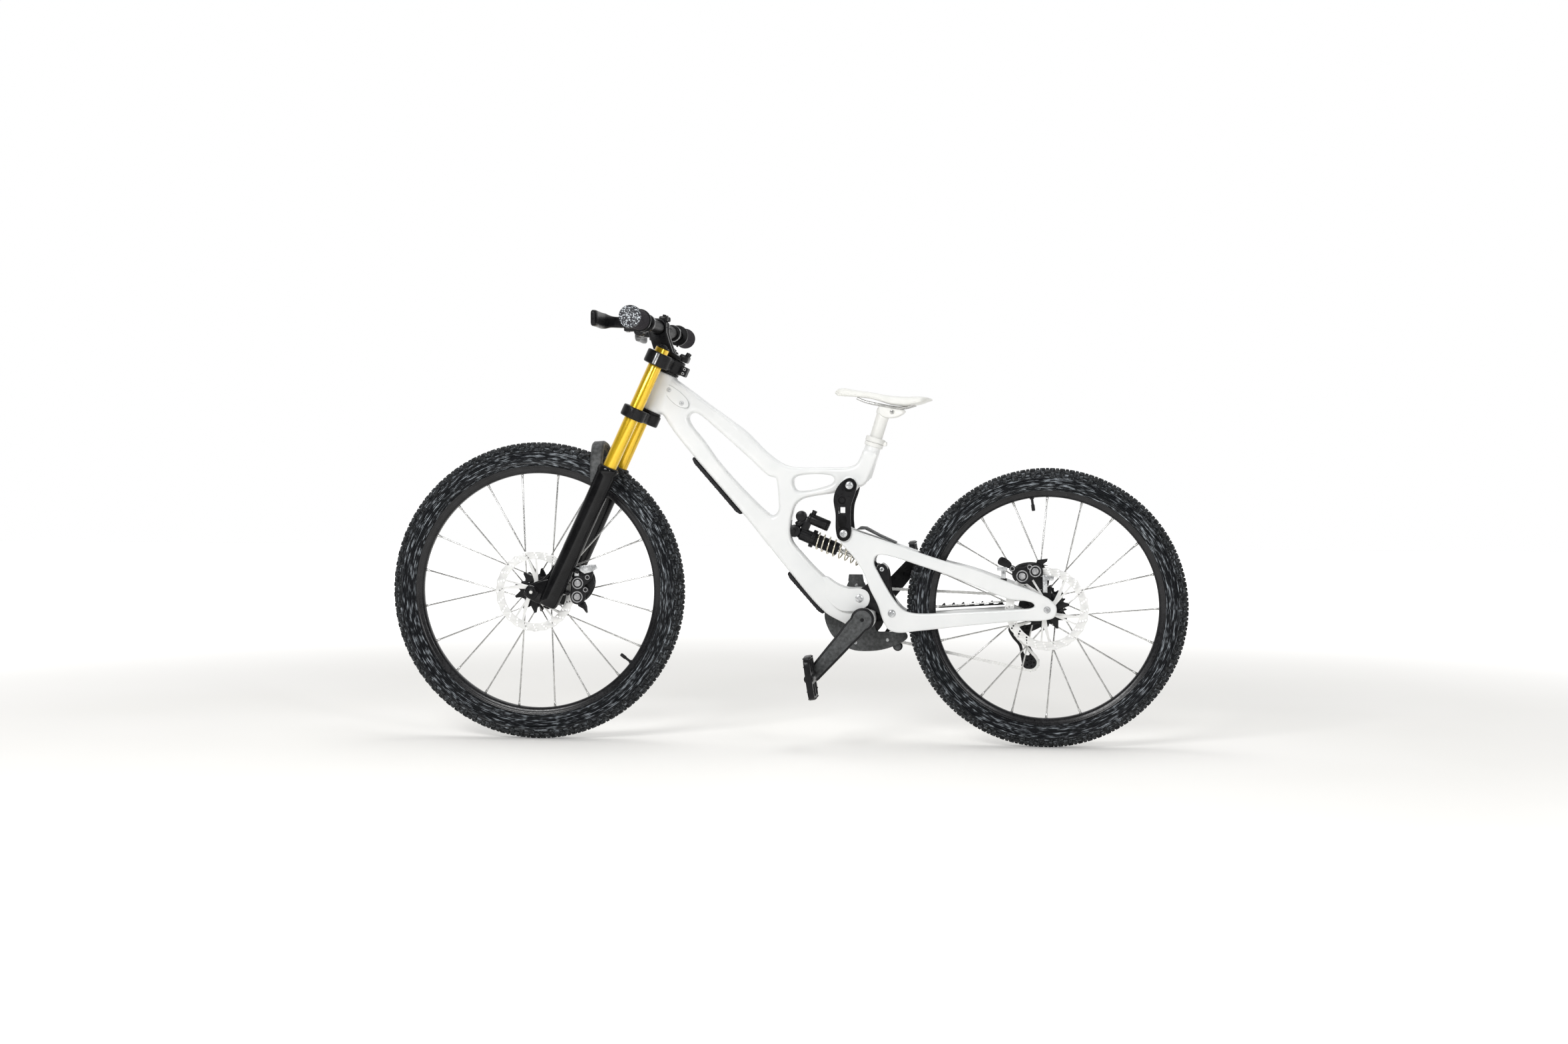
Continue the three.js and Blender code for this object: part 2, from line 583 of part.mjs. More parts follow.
const hubProfile = (bore, end, rotorY, flangeY, farStep) => [
  [bore, -end], [13, -end], [16.5, rotorY - 1.6], [16.5, rotorY + 1.3], [30, -flangeY - 2],
  [30, -flangeY + 2], [17, -flangeY + 7], [17, flangeY - 7], [30, flangeY - 2], [30, flangeY + 2],
  [farStep, flangeY + 4], [farStep, flangeY + 22], [13, flangeY + 23], [13, end], [bore, end], [bore, -end],
];

function rotor([x, z], y) {
  const windows = [];
  const arc = (2 * Math.PI) / ROTOR.arms;
  const carrier = 27;
  const rake = 0.004; // radians of lean for each millimetre outwards
  for (let arm = 0; arm < ROTOR.arms; arm++) {
    const at = (radius, part) => {
      const angle = arc * (arm + part) + (radius - carrier) * rake;
      return [x + radius * Math.cos(angle), z + radius * Math.sin(angle)];
    };
    const outerEdge = [0.06, 0.28, 0.5, 0.72, 0.94].map((part) => at(ROTOR.radius - ROTOR.band, part));
    const innerEdge = [0.84, 0.5, 0.16].map((part) => at(carrier, part));
    windows.push([...outerEdge, ...innerEdge]);
  }
  windows.push(circle([x, z], ROTOR.bore));
  const half = ROTOR.thickness / 2;
  return plate(circle([x, z], ROTOR.radius, 28), y - half, y + half, { holes: windows });
}

const deg = THREE.MathUtils.degToRad;
add("front_tyre", tyre(FRONT_AXLE, FRONT_WHEEL), TYRE);
add("front_rim", rim(FRONT_AXLE, FRONT_WHEEL), BLACK);
add(
  "front_hub",
  spokedHub(FRONT_AXLE, hubProfile(10, 54.7, ROTOR.frontY, 28, 15), FRONT_WHEEL.bed, 28, deg(-17.2)),
  STEEL,
);
add("front_rotor", rotor(FRONT_AXLE, ROTOR.frontY), SILVER);
add("rear_tyre", tyre(REAR_AXLE, REAR_WHEEL), TYRE);
add("rear_rim", rim(REAR_AXLE, REAR_WHEEL), BLACK);
add(
  "rear_hub",
  spokedHub(REAR_AXLE, hubProfile(8.5, 71.3, ROTOR.rearY, 34, 17), REAR_WHEEL.bed, 34, deg(-9)),
  STEEL,
);
add("rear_rotor", rotor(REAR_AXLE, ROTOR.rearY), SILVER);

// Five sprockets as one stepped block on the freehub, the smallest in line with the chainring.
function cassette() {
  const SPROCKETS = 5;
  const SPACING = 4;
  const THICKNESS = 1.6;
  const first = CHAIN_LINE - THICKNESS / 2 - SPACING * (SPROCKETS - 1);
  const radiusOf = (i) => THREE.MathUtils.lerp(46, REAR_SPROCKET_RADIUS - TOOTH_INSET, i / (SPROCKETS - 1));
  const steps = Array.from({ length: SPROCKETS }, (_, i) => {
    const y = first + SPACING * i;
    return [[radiusOf(i), y], [radiusOf(i), y + THICKNESS], [radiusOf(i + 1), y + THICKNESS + 0.2]];
  }).flat();
  const bore = 18;
  const end = 62;
  return turned(REAR_AXLE, [[bore, first], ...steps, [bore + 0.8, end], [bore, end], [bore, first]]);
}
add("cassette", cassette(), BLACK);

// ---- rear suspension ----
const UPPER_LINK_OUTLINE = [
  [791, 661], [773, 652], [758, 632], [752, 608], [757, 572], [758, 532], [764, 512], [778, 505],
  [791, 512], [796, 528], [794, 560], [796, 595], [806, 626], [809, 645], [802, 657],
];
function upperLink() {
  const window = [[765, 573], [781, 573], [781, 589], [765, 589]];
  const plates = [[-55.6, -48.6], [48.6, 55.6]].map(([low, high]) =>
    plate(smoothLoop(UPPER_LINK_OUTLINE, 26), low, high, { holes: [window] }),
  );
  const bridge = across([772, 604], -50, 50, 8);
  const pins = [[-49, -34], [34, 49]].map(([low, high]) => across(UPPER_LINK_EYE, low, high, 6));
  const bore = across(UPPER_LINK_PIVOT, -THROUGH, THROUGH, PIVOT_BOLT_RADIUS + GAP);
  return cut(join(...plates, bridge, ...pins), bore);
}
add("upper_link", upperLink(), BLACK);

const LOWER_LINK_OUTLINE = [
  [800, 362], [806, 378], [838, 404], [856, 438], [870, 450], [884, 438], [893, 380], [911, 332],
  [906, 316], [890, 314], [850, 334], [812, 349],
];
function lowerLink() {
  const outline = smoothLoop(LOWER_LINK_OUTLINE, 26);
  const plates = [[-31.2, -23.8], [23.8, 31.2]].map(([low, high]) => plate(outline, low, high));
  const swingPin = across(LOWER_LINK_EYE, -SWINGARM.outer - 1, SWINGARM.outer + 1, SWING_PIN_RADIUS);
  const shockPin = across(SHOCK_LINK_EYE, -25, 25, 5);
  const bore = across(LOWER_LINK_PIVOT, -THROUGH, THROUGH, PIVOT_BOLT_RADIUS + GAP);
  return cut(join(...plates, swingPin, shockPin), bore);
}
add("lower_link", lowerLink(), BLACK);

const SWINGARM_OUTLINE = [
  [777, 542], [799, 534], [853, 516], [907, 498], [962, 479], [1029, 458], [1094, 441], [1159, 418],
  [1249, 385], [1280, 369], [1297, 350], [1292, 326], [1270, 318], [1204, 314], [1068, 299], [963, 286],
  [908, 281], [886, 290], [872, 315], [861, 348], [842, 386], [823, 432], [798, 469], [770, 500],
  [759, 522],
];
const SWINGARM_WINDOW = [
  [870, 472], [908, 464], [962, 447], [1021, 428], [1113, 393], [1185, 367], [1222, 364], [1240, 359],
  [1245, 353], [1236, 347], [1204, 344], [1068, 335], [950, 330], [924, 338], [899, 366], [880, 397],
  [864, 426], [852, 452], [856, 468],
];

// The arms run parallel beside the links, then spread towards the rear axle.
const splayed = (x) => SWINGARM.splay * Math.max(0, x - SWINGARM.splayFrom);
function swingarmArm(side) {
  const [low, high] = side < 0 ? [-SWINGARM.outer, -SWINGARM.inner] : [SWINGARM.inner, SWINGARM.outer];
  const flat = plate(smoothLoop(SWINGARM_OUTLINE, 46), low, high, {
    holes: [smoothLoop(SWINGARM_WINDOW, 30)],
  });
  const behind = block([SWINGARM.splayFrom, -100, 0], [1500, 100, 1000]);
  const spread = reshaped(flat.intersect(behind), (p) => p.setY(p.y + side * splayed(p.x)));
  return join(flat.subtract(behind), spread);
}

function swingarm() {
  const arms = [-1, 1].map(swingarmArm);
  const bosses = [[-89, -71.8], [71.8, 89]].map(([low, high]) => across(REAR_AXLE, low, high, 18));
  const upperBridge = across([915, 480], -40, 40, 12);
  const lowerBridge = across([919, 299], -40, 40, 9);
  return cut(
    join(...arms, ...bosses, upperBridge, lowerBridge),
    across(UPPER_LINK_EYE, -THROUGH, THROUGH, 10.5),
    across(LOWER_LINK_EYE, -THROUGH, THROUGH, SWING_PIN_RADIUS + GAP),
    across(REAR_AXLE, -THROUGH, THROUGH, REAR_AXLE_RADIUS + GAP),
  );
}
add("swingarm", swingarm(), WHITE);
add("rear_axle", across(REAR_AXLE, -92, 92, REAR_AXLE_RADIUS), STEEL);

const rearCaliper = caliper(
  [[1194, 414], [1262, 391], [1278, 404], [1274, 440], [1250, 456], [1206, 452], [1190, 436]],
  { piston: [1229, 430], axle: REAR_AXLE },
  ROTOR.rearY, -72, -39,
);
add("rear_caliper", rearCaliper, SILVER);

// Toothed rubber strip on the right chainstay, under the chain.
function chainstayGuard() {
  const TEETH = 7;
  const start = 1006;
  const end = 1172;
  const bed = (x) => 336.5 + (x - start) * 0.052;
  const outline = [[start, bed(start) + 0.5], [end, bed(end) + 0.5]];
  const width = (end - start) / TEETH;
  for (let tooth = TEETH - 1; tooth >= 0; tooth--) {
    const x = start + width * tooth;
    outline.push([x + width * 0.95, bed(x) + 4], [x + width * 0.7, bed(x) + 11]);
    outline.push([x + width * 0.25, bed(x) + 11], [x + width * 0.05, bed(x) + 4]);
  }
  const middle = (SWINGARM.inner + SWINGARM.outer) / 2;
  return reshaped(plate(outline, -7, 7), (p) => p.setY(p.y + middle + splayed(p.x)));
}
add("chainstay_guard", chainstayGuard(), BLACK);

const MUD_PLATE = [
  [806, 533], [816, 541], [829, 540], [862, 522], [904, 503], [904, 499], [862, 517], [828, 534],
];
add("mud_plate", plate(MUD_PLATE, -31, 31), BLACK);

// ---- shock: X runs along it from the frame's eye to the link's eye ----
const shock = new THREE.Group();
const shockLength = Math.hypot(SHOCK_LINK_EYE[0] - SHOCK_EYE[0], SHOCK_LINK_EYE[1] - SHOCK_EYE[1]);
shock.position.set(SHOCK_EYE[0], 0, SHOCK_EYE[1]);
shock.rotation.y = Math.atan2(SHOCK_EYE[1] - SHOCK_LINK_EYE[1], SHOCK_LINK_EYE[0] - SHOCK_EYE[0]);
bike.add(shock);

function shockBody() {
  const eye = across([0, 0], -11.5, 11.5, 12);
  const pins = across([0, 0], -21, 21, SHOCK.pinRadius);
  const body = join(rod([8, 0, 0], [20, 0, 0], 10), rod([18, 0, 0], [SHOCK.bodyEnd, 0, 0], SHOCK.bodyRadius));
  const collar = rod([SHOCK.collar, 0, 0], [SHOCK.collar + 10, 0, 0], 22.6);
  const head = block([18, -10, 8], [40, 10, 46]);
  const reservoir = rod([20, 0, 44], [78, 0, 44], 13.7);
  const knobs = join(rod([30, 0, 50], [30, 0, 66], 6), rod([0, 0, 30], [22, 0, 40], 7));
  const bore = rod([22, 0, 0], [SHOCK.bodyEnd + 1, 0, 0], 7);
  return cut(join(eye, pins, body, collar, head, reservoir, knobs), bore);
}
add("shock_body", shockBody(), BLACK, shock);

function shockShaft() {
  const shaft = rod([74, 0, 0], [shockLength - 6, 0, 0], 6);
  const perch = rod([SHOCK.perch, 0, 0], [SHOCK.perch + 7, 0, 0], 22.6);
  const eye = across([shockLength, 0], -15, 15, 13);
  return cut(join(shaft, perch, eye), across([shockLength, 0], -20, 20, 8));
}
add("shock_shaft", shockShaft(), STEEL, shock);

function spring() {
  const { wire, turns } = SPRING;
  const stepsPerTurn = 10;
  const steps = turns * stepsPerTurn;
  const from = SHOCK.collar + 10 + 2 * GAP + wire;
  const to = SHOCK.perch - 2 * GAP - wire;
  const coil = SPRING.radius - wire;
  const points = Array.from({ length: steps + 1 }, (_, i) => {
    const angle = (2 * Math.PI * i) / stepsPerTurn;
    const x = THREE.MathUtils.lerp(from, to, i / steps);
    return [x, coil * Math.cos(angle), coil * Math.sin(angle)];
  });
  return swept(circle([0, 0], wire, 4), points, steps);
}
add("shock_spring", spring(), GOLD, shock);

// ---- drivetrain ----
function crankArm(side, face) {
  const thickness = 18;
  const spread = 0.1; // outward lean of the arm
  const neck = CRANK_LENGTH - 30;
  const tip = CRANK_LENGTH + 16;
  const outline = [
    ...circle([0, 0], 29, 20).slice(3, 18),
    [60, -18], [neck, -15], [CRANK_LENGTH, -18], [tip, -9],
    [tip, 9], [CRANK_LENGTH, 18], [neck, 15], [60, 18],
  ];
  const [low, high] = side < 0 ? [-face - thickness, -face] : [face, face + thickness];
  const flat = plate(outline, low, high, { bevel: 3, bevelSegments: 1 });
  const angle = side < 0 ? CRANK_ANGLE : CRANK_ANGLE - Math.PI;
  const centre = new THREE.Vector3(BOTTOM_BRACKET[0], 0, BOTTOM_BRACKET[1]);
  const lateral = new THREE.Vector3(0, 1, 0);
  return reshaped(flat, (p) => {
    p.setY(p.y + side * spread * Math.max(0, p.x));
    return p.applyAxisAngle(lateral, -angle).add(centre);
  });
}

const pedalAxle = (side) => [
  BOTTOM_BRACKET[0] - side * CRANK_LENGTH * Math.cos(CRANK_ANGLE),
  BOTTOM_BRACKET[1] - side * CRANK_LENGTH * Math.sin(CRANK_ANGLE),
];

function crank(side, face) {
  const [low, high] = side < 0 ? [-PEDAL.outer + 5, -face - 20] : [face + 20, PEDAL.outer - 5];
  return join(crankArm(side, face), across(pedalAxle(side), low, high, 6.5));
}
const SPINDLE_RADIUS = 12;
const spindleBore = across(BOTTOM_BRACKET, -73, -50, SPINDLE_RADIUS + GAP);
add("crank_left", cut(crank(-1, 54), spindleBore), DARK_GREY);

const spindle = across(BOTTOM_BRACKET, -70, 62, SPINDLE_RADIUS);
const spider = across(BOTTOM_BRACKET, 57, 61, 44);
add("crank_right", join(crank(1, 58), spindle, spider), DARK_GREY);

function toothedRing([x, z], pitchRadius, teeth, y, halfWidth, bore) {
  const outline = [];
  for (let tooth = 0; tooth < teeth; tooth++) {
    const at = (radius, part) => {
      const angle = (2 * Math.PI * (tooth + part)) / teeth;
      outline.push([x + radius * Math.cos(angle), z + radius * Math.sin(angle)]);
    };
    at(pitchRadius - TOOTH_INSET - 2.5, 0);
    at(pitchRadius - TOOTH_INSET, 0.5);
  }
  return plate(outline, y - halfWidth, y + halfWidth, { holes: [circle([x, z], bore, 16)] });
}
add("chainring", toothedRing(BOTTOM_BRACKET, CHAINRING_RADIUS, CHAINRING_TEETH, CHAIN_LINE, 1.2, 13), BLACK);

function pedal(side) {
  const low = side < 0 ? -PEDAL.outer : PEDAL.inner;
  const [x, z] = pedalAxle(side);
  const { halfLength, halfThickness } = PEDAL;
  const width = PEDAL.outer - PEDAL.inner;
  const slab = block([-halfLength, low, -halfThickness], [halfLength, low + width, halfThickness]);
  const windows = [[-43, -16], [16, 43]].flatMap(([a, b]) =>
    [[12, 45], [55, 88]].map(([c, d]) => block([a, low + c, -20], [b, low + d, 20])),
  );
  const TILT = deg(81.4);
  const body = join(cut(slab, ...windows), across([0, 0], low, low + width, 12));
  const axle = new THREE.Vector3(x, 0, z);
  const lateral = new THREE.Vector3(0, 1, 0);
  const bored = cut(body, across([0, 0], -300, 300, 7.2));
  return reshaped(bored, (p) => p.applyAxisAngle(lateral, TILT).add(axle));
}
add("pedal_left", pedal(-1), BLACK);
add("pedal_right", pedal(1), BLACK);

const chainPath = (points) => points.map(([x, z]) => [x, CHAIN_LINE, z]);
const onCircle = ({ x, z, radius }, degrees) => [
  x + radius * Math.cos(deg(degrees)),
  z + radius * Math.sin(deg(degrees)),
];
const arc = (wheel, from, to, count) =>
  Array.from({ length: count }, (_, i) => onCircle(wheel, from + ((to - from) * i) / (count - 1)));

const chainringWheel = { x: BOTTOM_BRACKET[0], z: BOTTOM_BRACKET[1], radius: CHAINRING_RADIUS };
const rearSprocket = { x: REAR_AXLE[0], z: REAR_AXLE[1], radius: REAR_SPROCKET_RADIUS };
const UPPER_RUN_SLOPE = -2.26; // degrees
const LOWER_RUN_SLOPE = -13;

const upperRun = [chainringWheel, rearSprocket].map((wheel) => onCircle(wheel, 90 + UPPER_RUN_SLOPE));
const lowerRun = [onCircle(IDLER, 90 + LOWER_RUN_SLOPE), onCircle(LOWER_PULLEY, 270 + LOWER_RUN_SLOPE)];
const between = ([a, b], part) => [a[0] + (b[0] - a[0]) * part, a[1] + (b[1] - a[1]) * part];

add("chain_upper_run", swept(CHAIN_SECTION, chainPath([upperRun[0], between(upperRun, 0.92)]), 1), SILVER);
add("chain_lower_run", swept(CHAIN_SECTION, chainPath([lowerRun[0], between(lowerRun, 0.89)]), 1), SILVER);
const frontChain = [...arc(chainringWheel, 111, 285, 16), [862, 246.5], [890, 255.5]];
add("chain_front", swept(CHAIN_SECTION, chainPath(frontChain), 20), SILVER);
const rearChain = [
  between(upperRun, 0.925),
  ...arc(rearSprocket, 88, -85, 8),
  [1262, 317],
  [1212, 297.5],
  ...arc({ ...UPPER_PULLEY, radius: UPPER_PULLEY.radius + 2 }, 120, 215, 4),
  ...arc(LOWER_PULLEY, 35, -103, 7),
  between(lowerRun, 0.895),
];
add("chain_rear", swept(CHAIN_SECTION, chainPath(rearChain), 28), SILVER);

// Backplate with bash guard, upper cage over the chain and the lower idler.
const CHAIN_GUIDE_OUTLINE = [
  [722, 322], [738, 270], [784, 233], [828, 227], [884, 236], [930, 262], [926, 275], [880, 277],
  [852, 280], [848, 330], [838, 345], [820, 402], [800, 412], [784, 404], [776, 384], [782, 360],
  [770, 340], [742, 338],
];
function chainGuide() {
  const backplate = plate(smoothLoop(CHAIN_GUIDE_OUTLINE, 40), 42.6, 47.4);
  const cage = cut(
    block([778, 46, 376], [820, 64, 420]),
    block([770, 50.2, 370], [830, 60.4, 401]),
  );
  const idler = join(
    across([IDLER.x, IDLER.z], 45, 61, 9),
    across([IDLER.x, IDLER.z], CHAIN_LINE - 1.2, CHAIN_LINE + 1.2, IDLER.radius - TOOTH_INSET),
  );
  return cut(join(backplate, cage, idler), across(BOTTOM_BRACKET, 40, 50, 14));
}
add("chain_guide", chainGuide(), DARK_GREY);

// Hanger, body and cage plate, with the two pins that carry the pulleys.
const HANGER_OUTLINE = [
  [1256, 352], [1262, 362], [1286, 362], [1293, 344], [1286, 322], [1272, 300], [1252, 286],
  [1222, 275], [1196, 272], [1184, 284], [1196, 295], [1230, 297], [1250, 306], [1257, 320],
];
const CAGE_OUTLINE = [
  [1180, 286], [1192, 298], [1214, 297], [1232, 282], [1236, 240], [1254, 212], [1252, 192],
  [1236, 184], [1218, 192], [1212, 214], [1206, 244], [1190, 264],
];
function derailleur() {
  const hanger = plate(HANGER_OUTLINE, 66, 69.3);
  const knuckle = across([1194, 284], 60.6, 74, 12);
  const cage = plate(smoothLoop(CAGE_OUTLINE, 36), 60.6, 63);
  const pins = [UPPER_PULLEY, LOWER_PULLEY].map(({ x, z }) => across([x, z], 52.4, 61, 3, { sides: 12 }));
  return cut(join(hanger, knuckle, cage, ...pins), across(REAR_AXLE, 60, 75, 14.5));
}
add("derailleur", derailleur(), BLACK);

const pulley = ({ x, z, radius }, teeth) =>
  toothedRing([x, z], radius, teeth, CHAIN_LINE, 1.2, 3 + 2 * GAP);
add("upper_pulley", pulley(UPPER_PULLEY, 11), BLACK);
add("lower_pulley", pulley(LOWER_PULLEY, 13), BLACK);

// The origin is on the ground below the middle of the bike.
bike.position.x = -(WHEELBASE + REAR_WHEEL.tyre - FRONT_WHEEL.tyre) / 2;

export default bike;
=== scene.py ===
import json
import math

import bmesh
import bpy
from mathutils import Matrix, Vector


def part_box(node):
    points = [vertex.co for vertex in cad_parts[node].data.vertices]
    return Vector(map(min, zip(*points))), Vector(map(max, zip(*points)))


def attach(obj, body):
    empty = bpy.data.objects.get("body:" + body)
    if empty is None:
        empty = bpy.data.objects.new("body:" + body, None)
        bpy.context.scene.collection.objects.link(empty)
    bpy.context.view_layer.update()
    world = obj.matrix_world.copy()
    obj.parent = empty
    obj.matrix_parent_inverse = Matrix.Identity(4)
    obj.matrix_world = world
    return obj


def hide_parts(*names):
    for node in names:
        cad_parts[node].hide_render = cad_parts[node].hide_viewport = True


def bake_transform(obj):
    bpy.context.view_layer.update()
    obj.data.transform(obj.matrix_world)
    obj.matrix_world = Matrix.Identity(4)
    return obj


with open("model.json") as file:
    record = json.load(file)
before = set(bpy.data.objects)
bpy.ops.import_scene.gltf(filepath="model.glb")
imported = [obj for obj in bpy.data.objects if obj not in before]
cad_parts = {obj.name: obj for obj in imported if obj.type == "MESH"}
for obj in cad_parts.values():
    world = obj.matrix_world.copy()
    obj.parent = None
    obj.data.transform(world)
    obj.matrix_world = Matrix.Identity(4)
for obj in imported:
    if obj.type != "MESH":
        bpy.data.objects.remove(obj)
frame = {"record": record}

for name in ("Cube", "Light", "Camera"):
    if name in bpy.data.objects:
        bpy.data.objects.remove(bpy.data.objects[name])
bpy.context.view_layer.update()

# ---- places: the joints worked out from the frame, the rest given ----
MM = 0.001
JOINTS = {joint["name"]: joint for joint in frame["record"]["behaviour"]["joints"]}


def middle(node):
    low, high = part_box(node)
    return Vector([(a + b) / 2 for a, b in zip(low, high)])


# Side-view millimetres: x back from the front axle, y across (the rider's left is negative), z up.
SIDE = Matrix.Translation((middle("front_tyre").x, 0, 0)) @ Matrix.Scale(MM, 4)


def in_mm(point):
    return SIDE.inverted() @ Vector(point)


def pivot(joint):
    point = in_mm(JOINTS[joint]["pos_m"])
    return point.x, point.z


FRONT_AXLE = pivot("front_wheel_spin")
REAR_AXLE = pivot("rear_wheel_spin")
BOTTOM_BRACKET = pivot("crank_spin")
UPPER_PIVOT = pivot("upper_link_pivot")
LOWER_PIVOT = pivot("suspension")
LOWER_EYE = pivot("swingarm_pivot")
SHOCK_EYE = pivot("shock_eye_pivot")
IDLER = pivot("lower_run_swing")
UPPER_PULLEY = pivot("upper_pulley_spin")
LOWER_PULLEY = pivot("lower_pulley_spin")
SHOCK_LINK_EYE = (870, 436)
UPPER_EYE = (777, 524)
BAR = (309, 1034)

# The fork's own frame: x back from the steering axis, z up along it.
steer_axis = Vector(JOINTS["steer"]["axis"])
LEAN = math.atan2(steer_axis.x, steer_axis.z)
fork_origin = in_mm(JOINTS["steer"]["pos_m"])
FORK = SIDE @ Matrix.Translation(fork_origin) @ Matrix.Rotation(LEAN, 4, "Y")
FORK_AXLE = (-72.7, 0)
LEGS_BACK = -24
HALF_LEGS = 69.5

# The shock's own frame: x from its upper eye to its lower one, z away from the bottom bracket.
shock_run = Vector((SHOCK_LINK_EYE[0] - SHOCK_EYE[0], SHOCK_LINK_EYE[1] - SHOCK_EYE[1]))
SHOCK_LENGTH = shock_run.length
SHOCK = (
    SIDE
    @ Matrix.Translation((SHOCK_EYE[0], 0, SHOCK_EYE[1]))
    @ Matrix.Rotation(-math.atan2(shock_run.y, shock_run.x), 4, "Y")
)

CHAIN_LINE = 55
CHAIN_PITCH = 12.7
HALF_SPROCKET = 1.1
CHAINRING_TEETH = 36
CHAINRING_RADIUS = CHAIN_PITCH / (2 * math.sin(math.pi / CHAINRING_TEETH))
CASSETTE_TEETH = (23, 20, 17, 14, 12)
REAR_SPROCKET_RADIUS = 24.5
CRANK_LENGTH = 180
CRANK_ANGLE = math.radians(228.8)


# ---- materials ----
class Nodes:
    """A material whose colour, roughness and bump come from a few noise fields."""

    def __init__(self, name, color, roughness, metallic=0.0, coords="Object", **sockets):
        self.material = bpy.data.materials.new(name)
        self.material.use_nodes = True
        self.tree = self.material.node_tree
        self.shader = self.tree.nodes["Principled BSDF"]
        self.shader.inputs["Base Color"].default_value = (*color, 1)
        self.shader.inputs["Roughness"].default_value = roughness
        self.shader.inputs["Metallic"].default_value = metallic
        for socket, value in sockets.items():
            self.shader.inputs[socket.replace("_", " ")].default_value = value
        self.coords = self.add("ShaderNodeTexCoord").outputs[coords]
        self.last_bump = None

    def add(self, kind, **values):
        node = self.tree.nodes.new(kind)
        for name, value in values.items():
            setattr(node, name, value)
        return node

    def link(self, out, into):
        self.tree.links.new(out, into)

    def stretched(self, scale=(1, 1, 1)):
        mapping = self.add("ShaderNodeMapping")
        mapping.inputs["Scale"].default_value = scale
        self.link(self.coords, mapping.inputs["Vector"])
        return mapping.outputs["Vector"]

    def field(self, scale, detail, stretch=(1, 1, 1)):
        texture = self.add("ShaderNodeTexNoise")
        texture.inputs["Scale"].default_value = scale
        texture.inputs["Detail"].default_value = detail
        self.link(self.stretched(stretch), texture.inputs["Vector"])
        return texture.outputs["Fac"]

    def ramp(self, field, stops):
        ramp = self.add("ShaderNodeValToRGB")
        elements = ramp.color_ramp.elements
        while len(elements) < len(stops):
            elements.new(0.5)
        for element, (place, color) in zip(elements, stops):
            element.position = place
            element.color = (*color, 1)
        self.link(field, ramp.inputs["Fac"])
        return ramp.outputs["Color"]

    def tint(self, field, low, high, start=0.3, end=0.7):
        """Colour runs from low to high as the field rises."""
        self.link(self.ramp(field, [(start, low), (end, high)]), self.shader.inputs["Base Color"])

    def rough(self, field, low, high):
        """Roughness runs from low to high as the field rises."""
        self.link(self.ramp(field, [(0.3, (low,) * 3), (0.7, (high,) * 3)]), self.shader.inputs["Roughness"])

    def bump(self, field, height, strength):
        """Height in metres; several bumps add up."""
        bump = self.add("ShaderNodeBump")
        bump.inputs["Distance"].default_value = height
        bump.inputs["Strength"].default_value = strength
        self.link(field, bump.inputs["Height"])
        if self.last_bump:
            self.link(self.last_bump, bump.inputs["Normal"])
        self.last_bump = bump.outputs["Normal"]
        self.link(self.last_bump, self.shader.inputs["Normal"])

    def wave(self, scale, axis, distortion):
        texture = self.add("ShaderNodeTexWave", bands_direction=axis)
        texture.inputs["Scale"].default_value = scale
        texture.inputs["Distortion"].default_value = distortion
        self.link(self.coords, texture.inputs["Vector"])
        return texture.outputs["Fac"]


def white_resin():
    look = Nodes("white_resin", (0.80, 0.81, 0.81), 0.34, Coat_Weight=0.35, Coat_Roughness=0.12)
    look.tint(look.field(9, 3), (0.76, 0.775, 0.775), (0.84, 0.845, 0.84))
    look.rough(look.field(60, 5), 0.28, 0.42)
    look.bump(look.field(700, 3), 0.00004, 0.5)
    look.bump(look.field(40, 2), 0.0003, 0.35)
    return look.material


# Mid grey used as painted shade in the joint round the cable port cover.
def joint_shade_grey():
    look = Nodes("joint_shade_grey", (0.45, 0.46, 0.46), 0.6)
    look.tint(look.field(60, 4), (0.38, 0.39, 0.39), (0.52, 0.53, 0.53))
    return look.material


def white_matt():
    look = Nodes("white_matt", (0.78, 0.78, 0.76), 0.5, Coat_Weight=0.15, Coat_Roughness=0.3)
    look.tint(look.field(14, 4), (0.74, 0.74, 0.71), (0.83, 0.83, 0.81))
    look.bump(look.field(900, 3), 0.00008, 0.6)
    return look.material


def saddle_leather():
    look = Nodes("saddle_leather", (0.79, 0.79, 0.76), 0.48)
    look.tint(look.field(12, 4), (0.74, 0.74, 0.70), (0.83, 0.83, 0.80))
    grain = look.add("ShaderNodeTexVoronoi")
    grain.inputs["Scale"].default_value = 520
    look.link(look.stretched(), grain.inputs["Vector"])
    look.rough(look.field(200, 3), 0.4, 0.58)
    look.bump(grain.outputs["Distance"], 0.00016, 0.5)
    return look.material


def black_anodised():
    look = Nodes("black_anodised", (0.006, 0.006, 0.007), 0.33, 0.0, Specular_IOR_Level=0.22)
    look.tint(look.field(70, 5), (0.004, 0.004, 0.005), (0.011, 0.011, 0.012))
    look.rough(look.field(160, 5), 0.24, 0.42)
    look.bump(look.field(900, 3), 0.00004, 0.5)
    return look.material


def fork_black():
    look = Nodes(
        "fork_black", (0.006, 0.006, 0.007), 0.2,
        Specular_IOR_Level=0.08, Coat_Weight=0.32, Coat_Roughness=0.04,
    )
    look.tint(look.field(30, 5), (0.004, 0.004, 0.0045), (0.011, 0.011, 0.012))
    look.rough(look.field(90, 6), 0.16, 0.3)
    look.bump(look.field(260, 4), 0.00006, 0.5)
    return look.material


def bar_gloss():
    look = Nodes("bar_gloss", (0.004, 0.004, 0.005), 0.42, Specular_IOR_Level=0.07)
    look.tint(look.field(50, 4), (0.005, 0.005, 0.005), (0.012, 0.012, 0.013))
    look.rough(look.field(220, 4), 0.34, 0.5)
    look.bump(look.field(500, 3), 0.00003, 0.4)
    return look.material


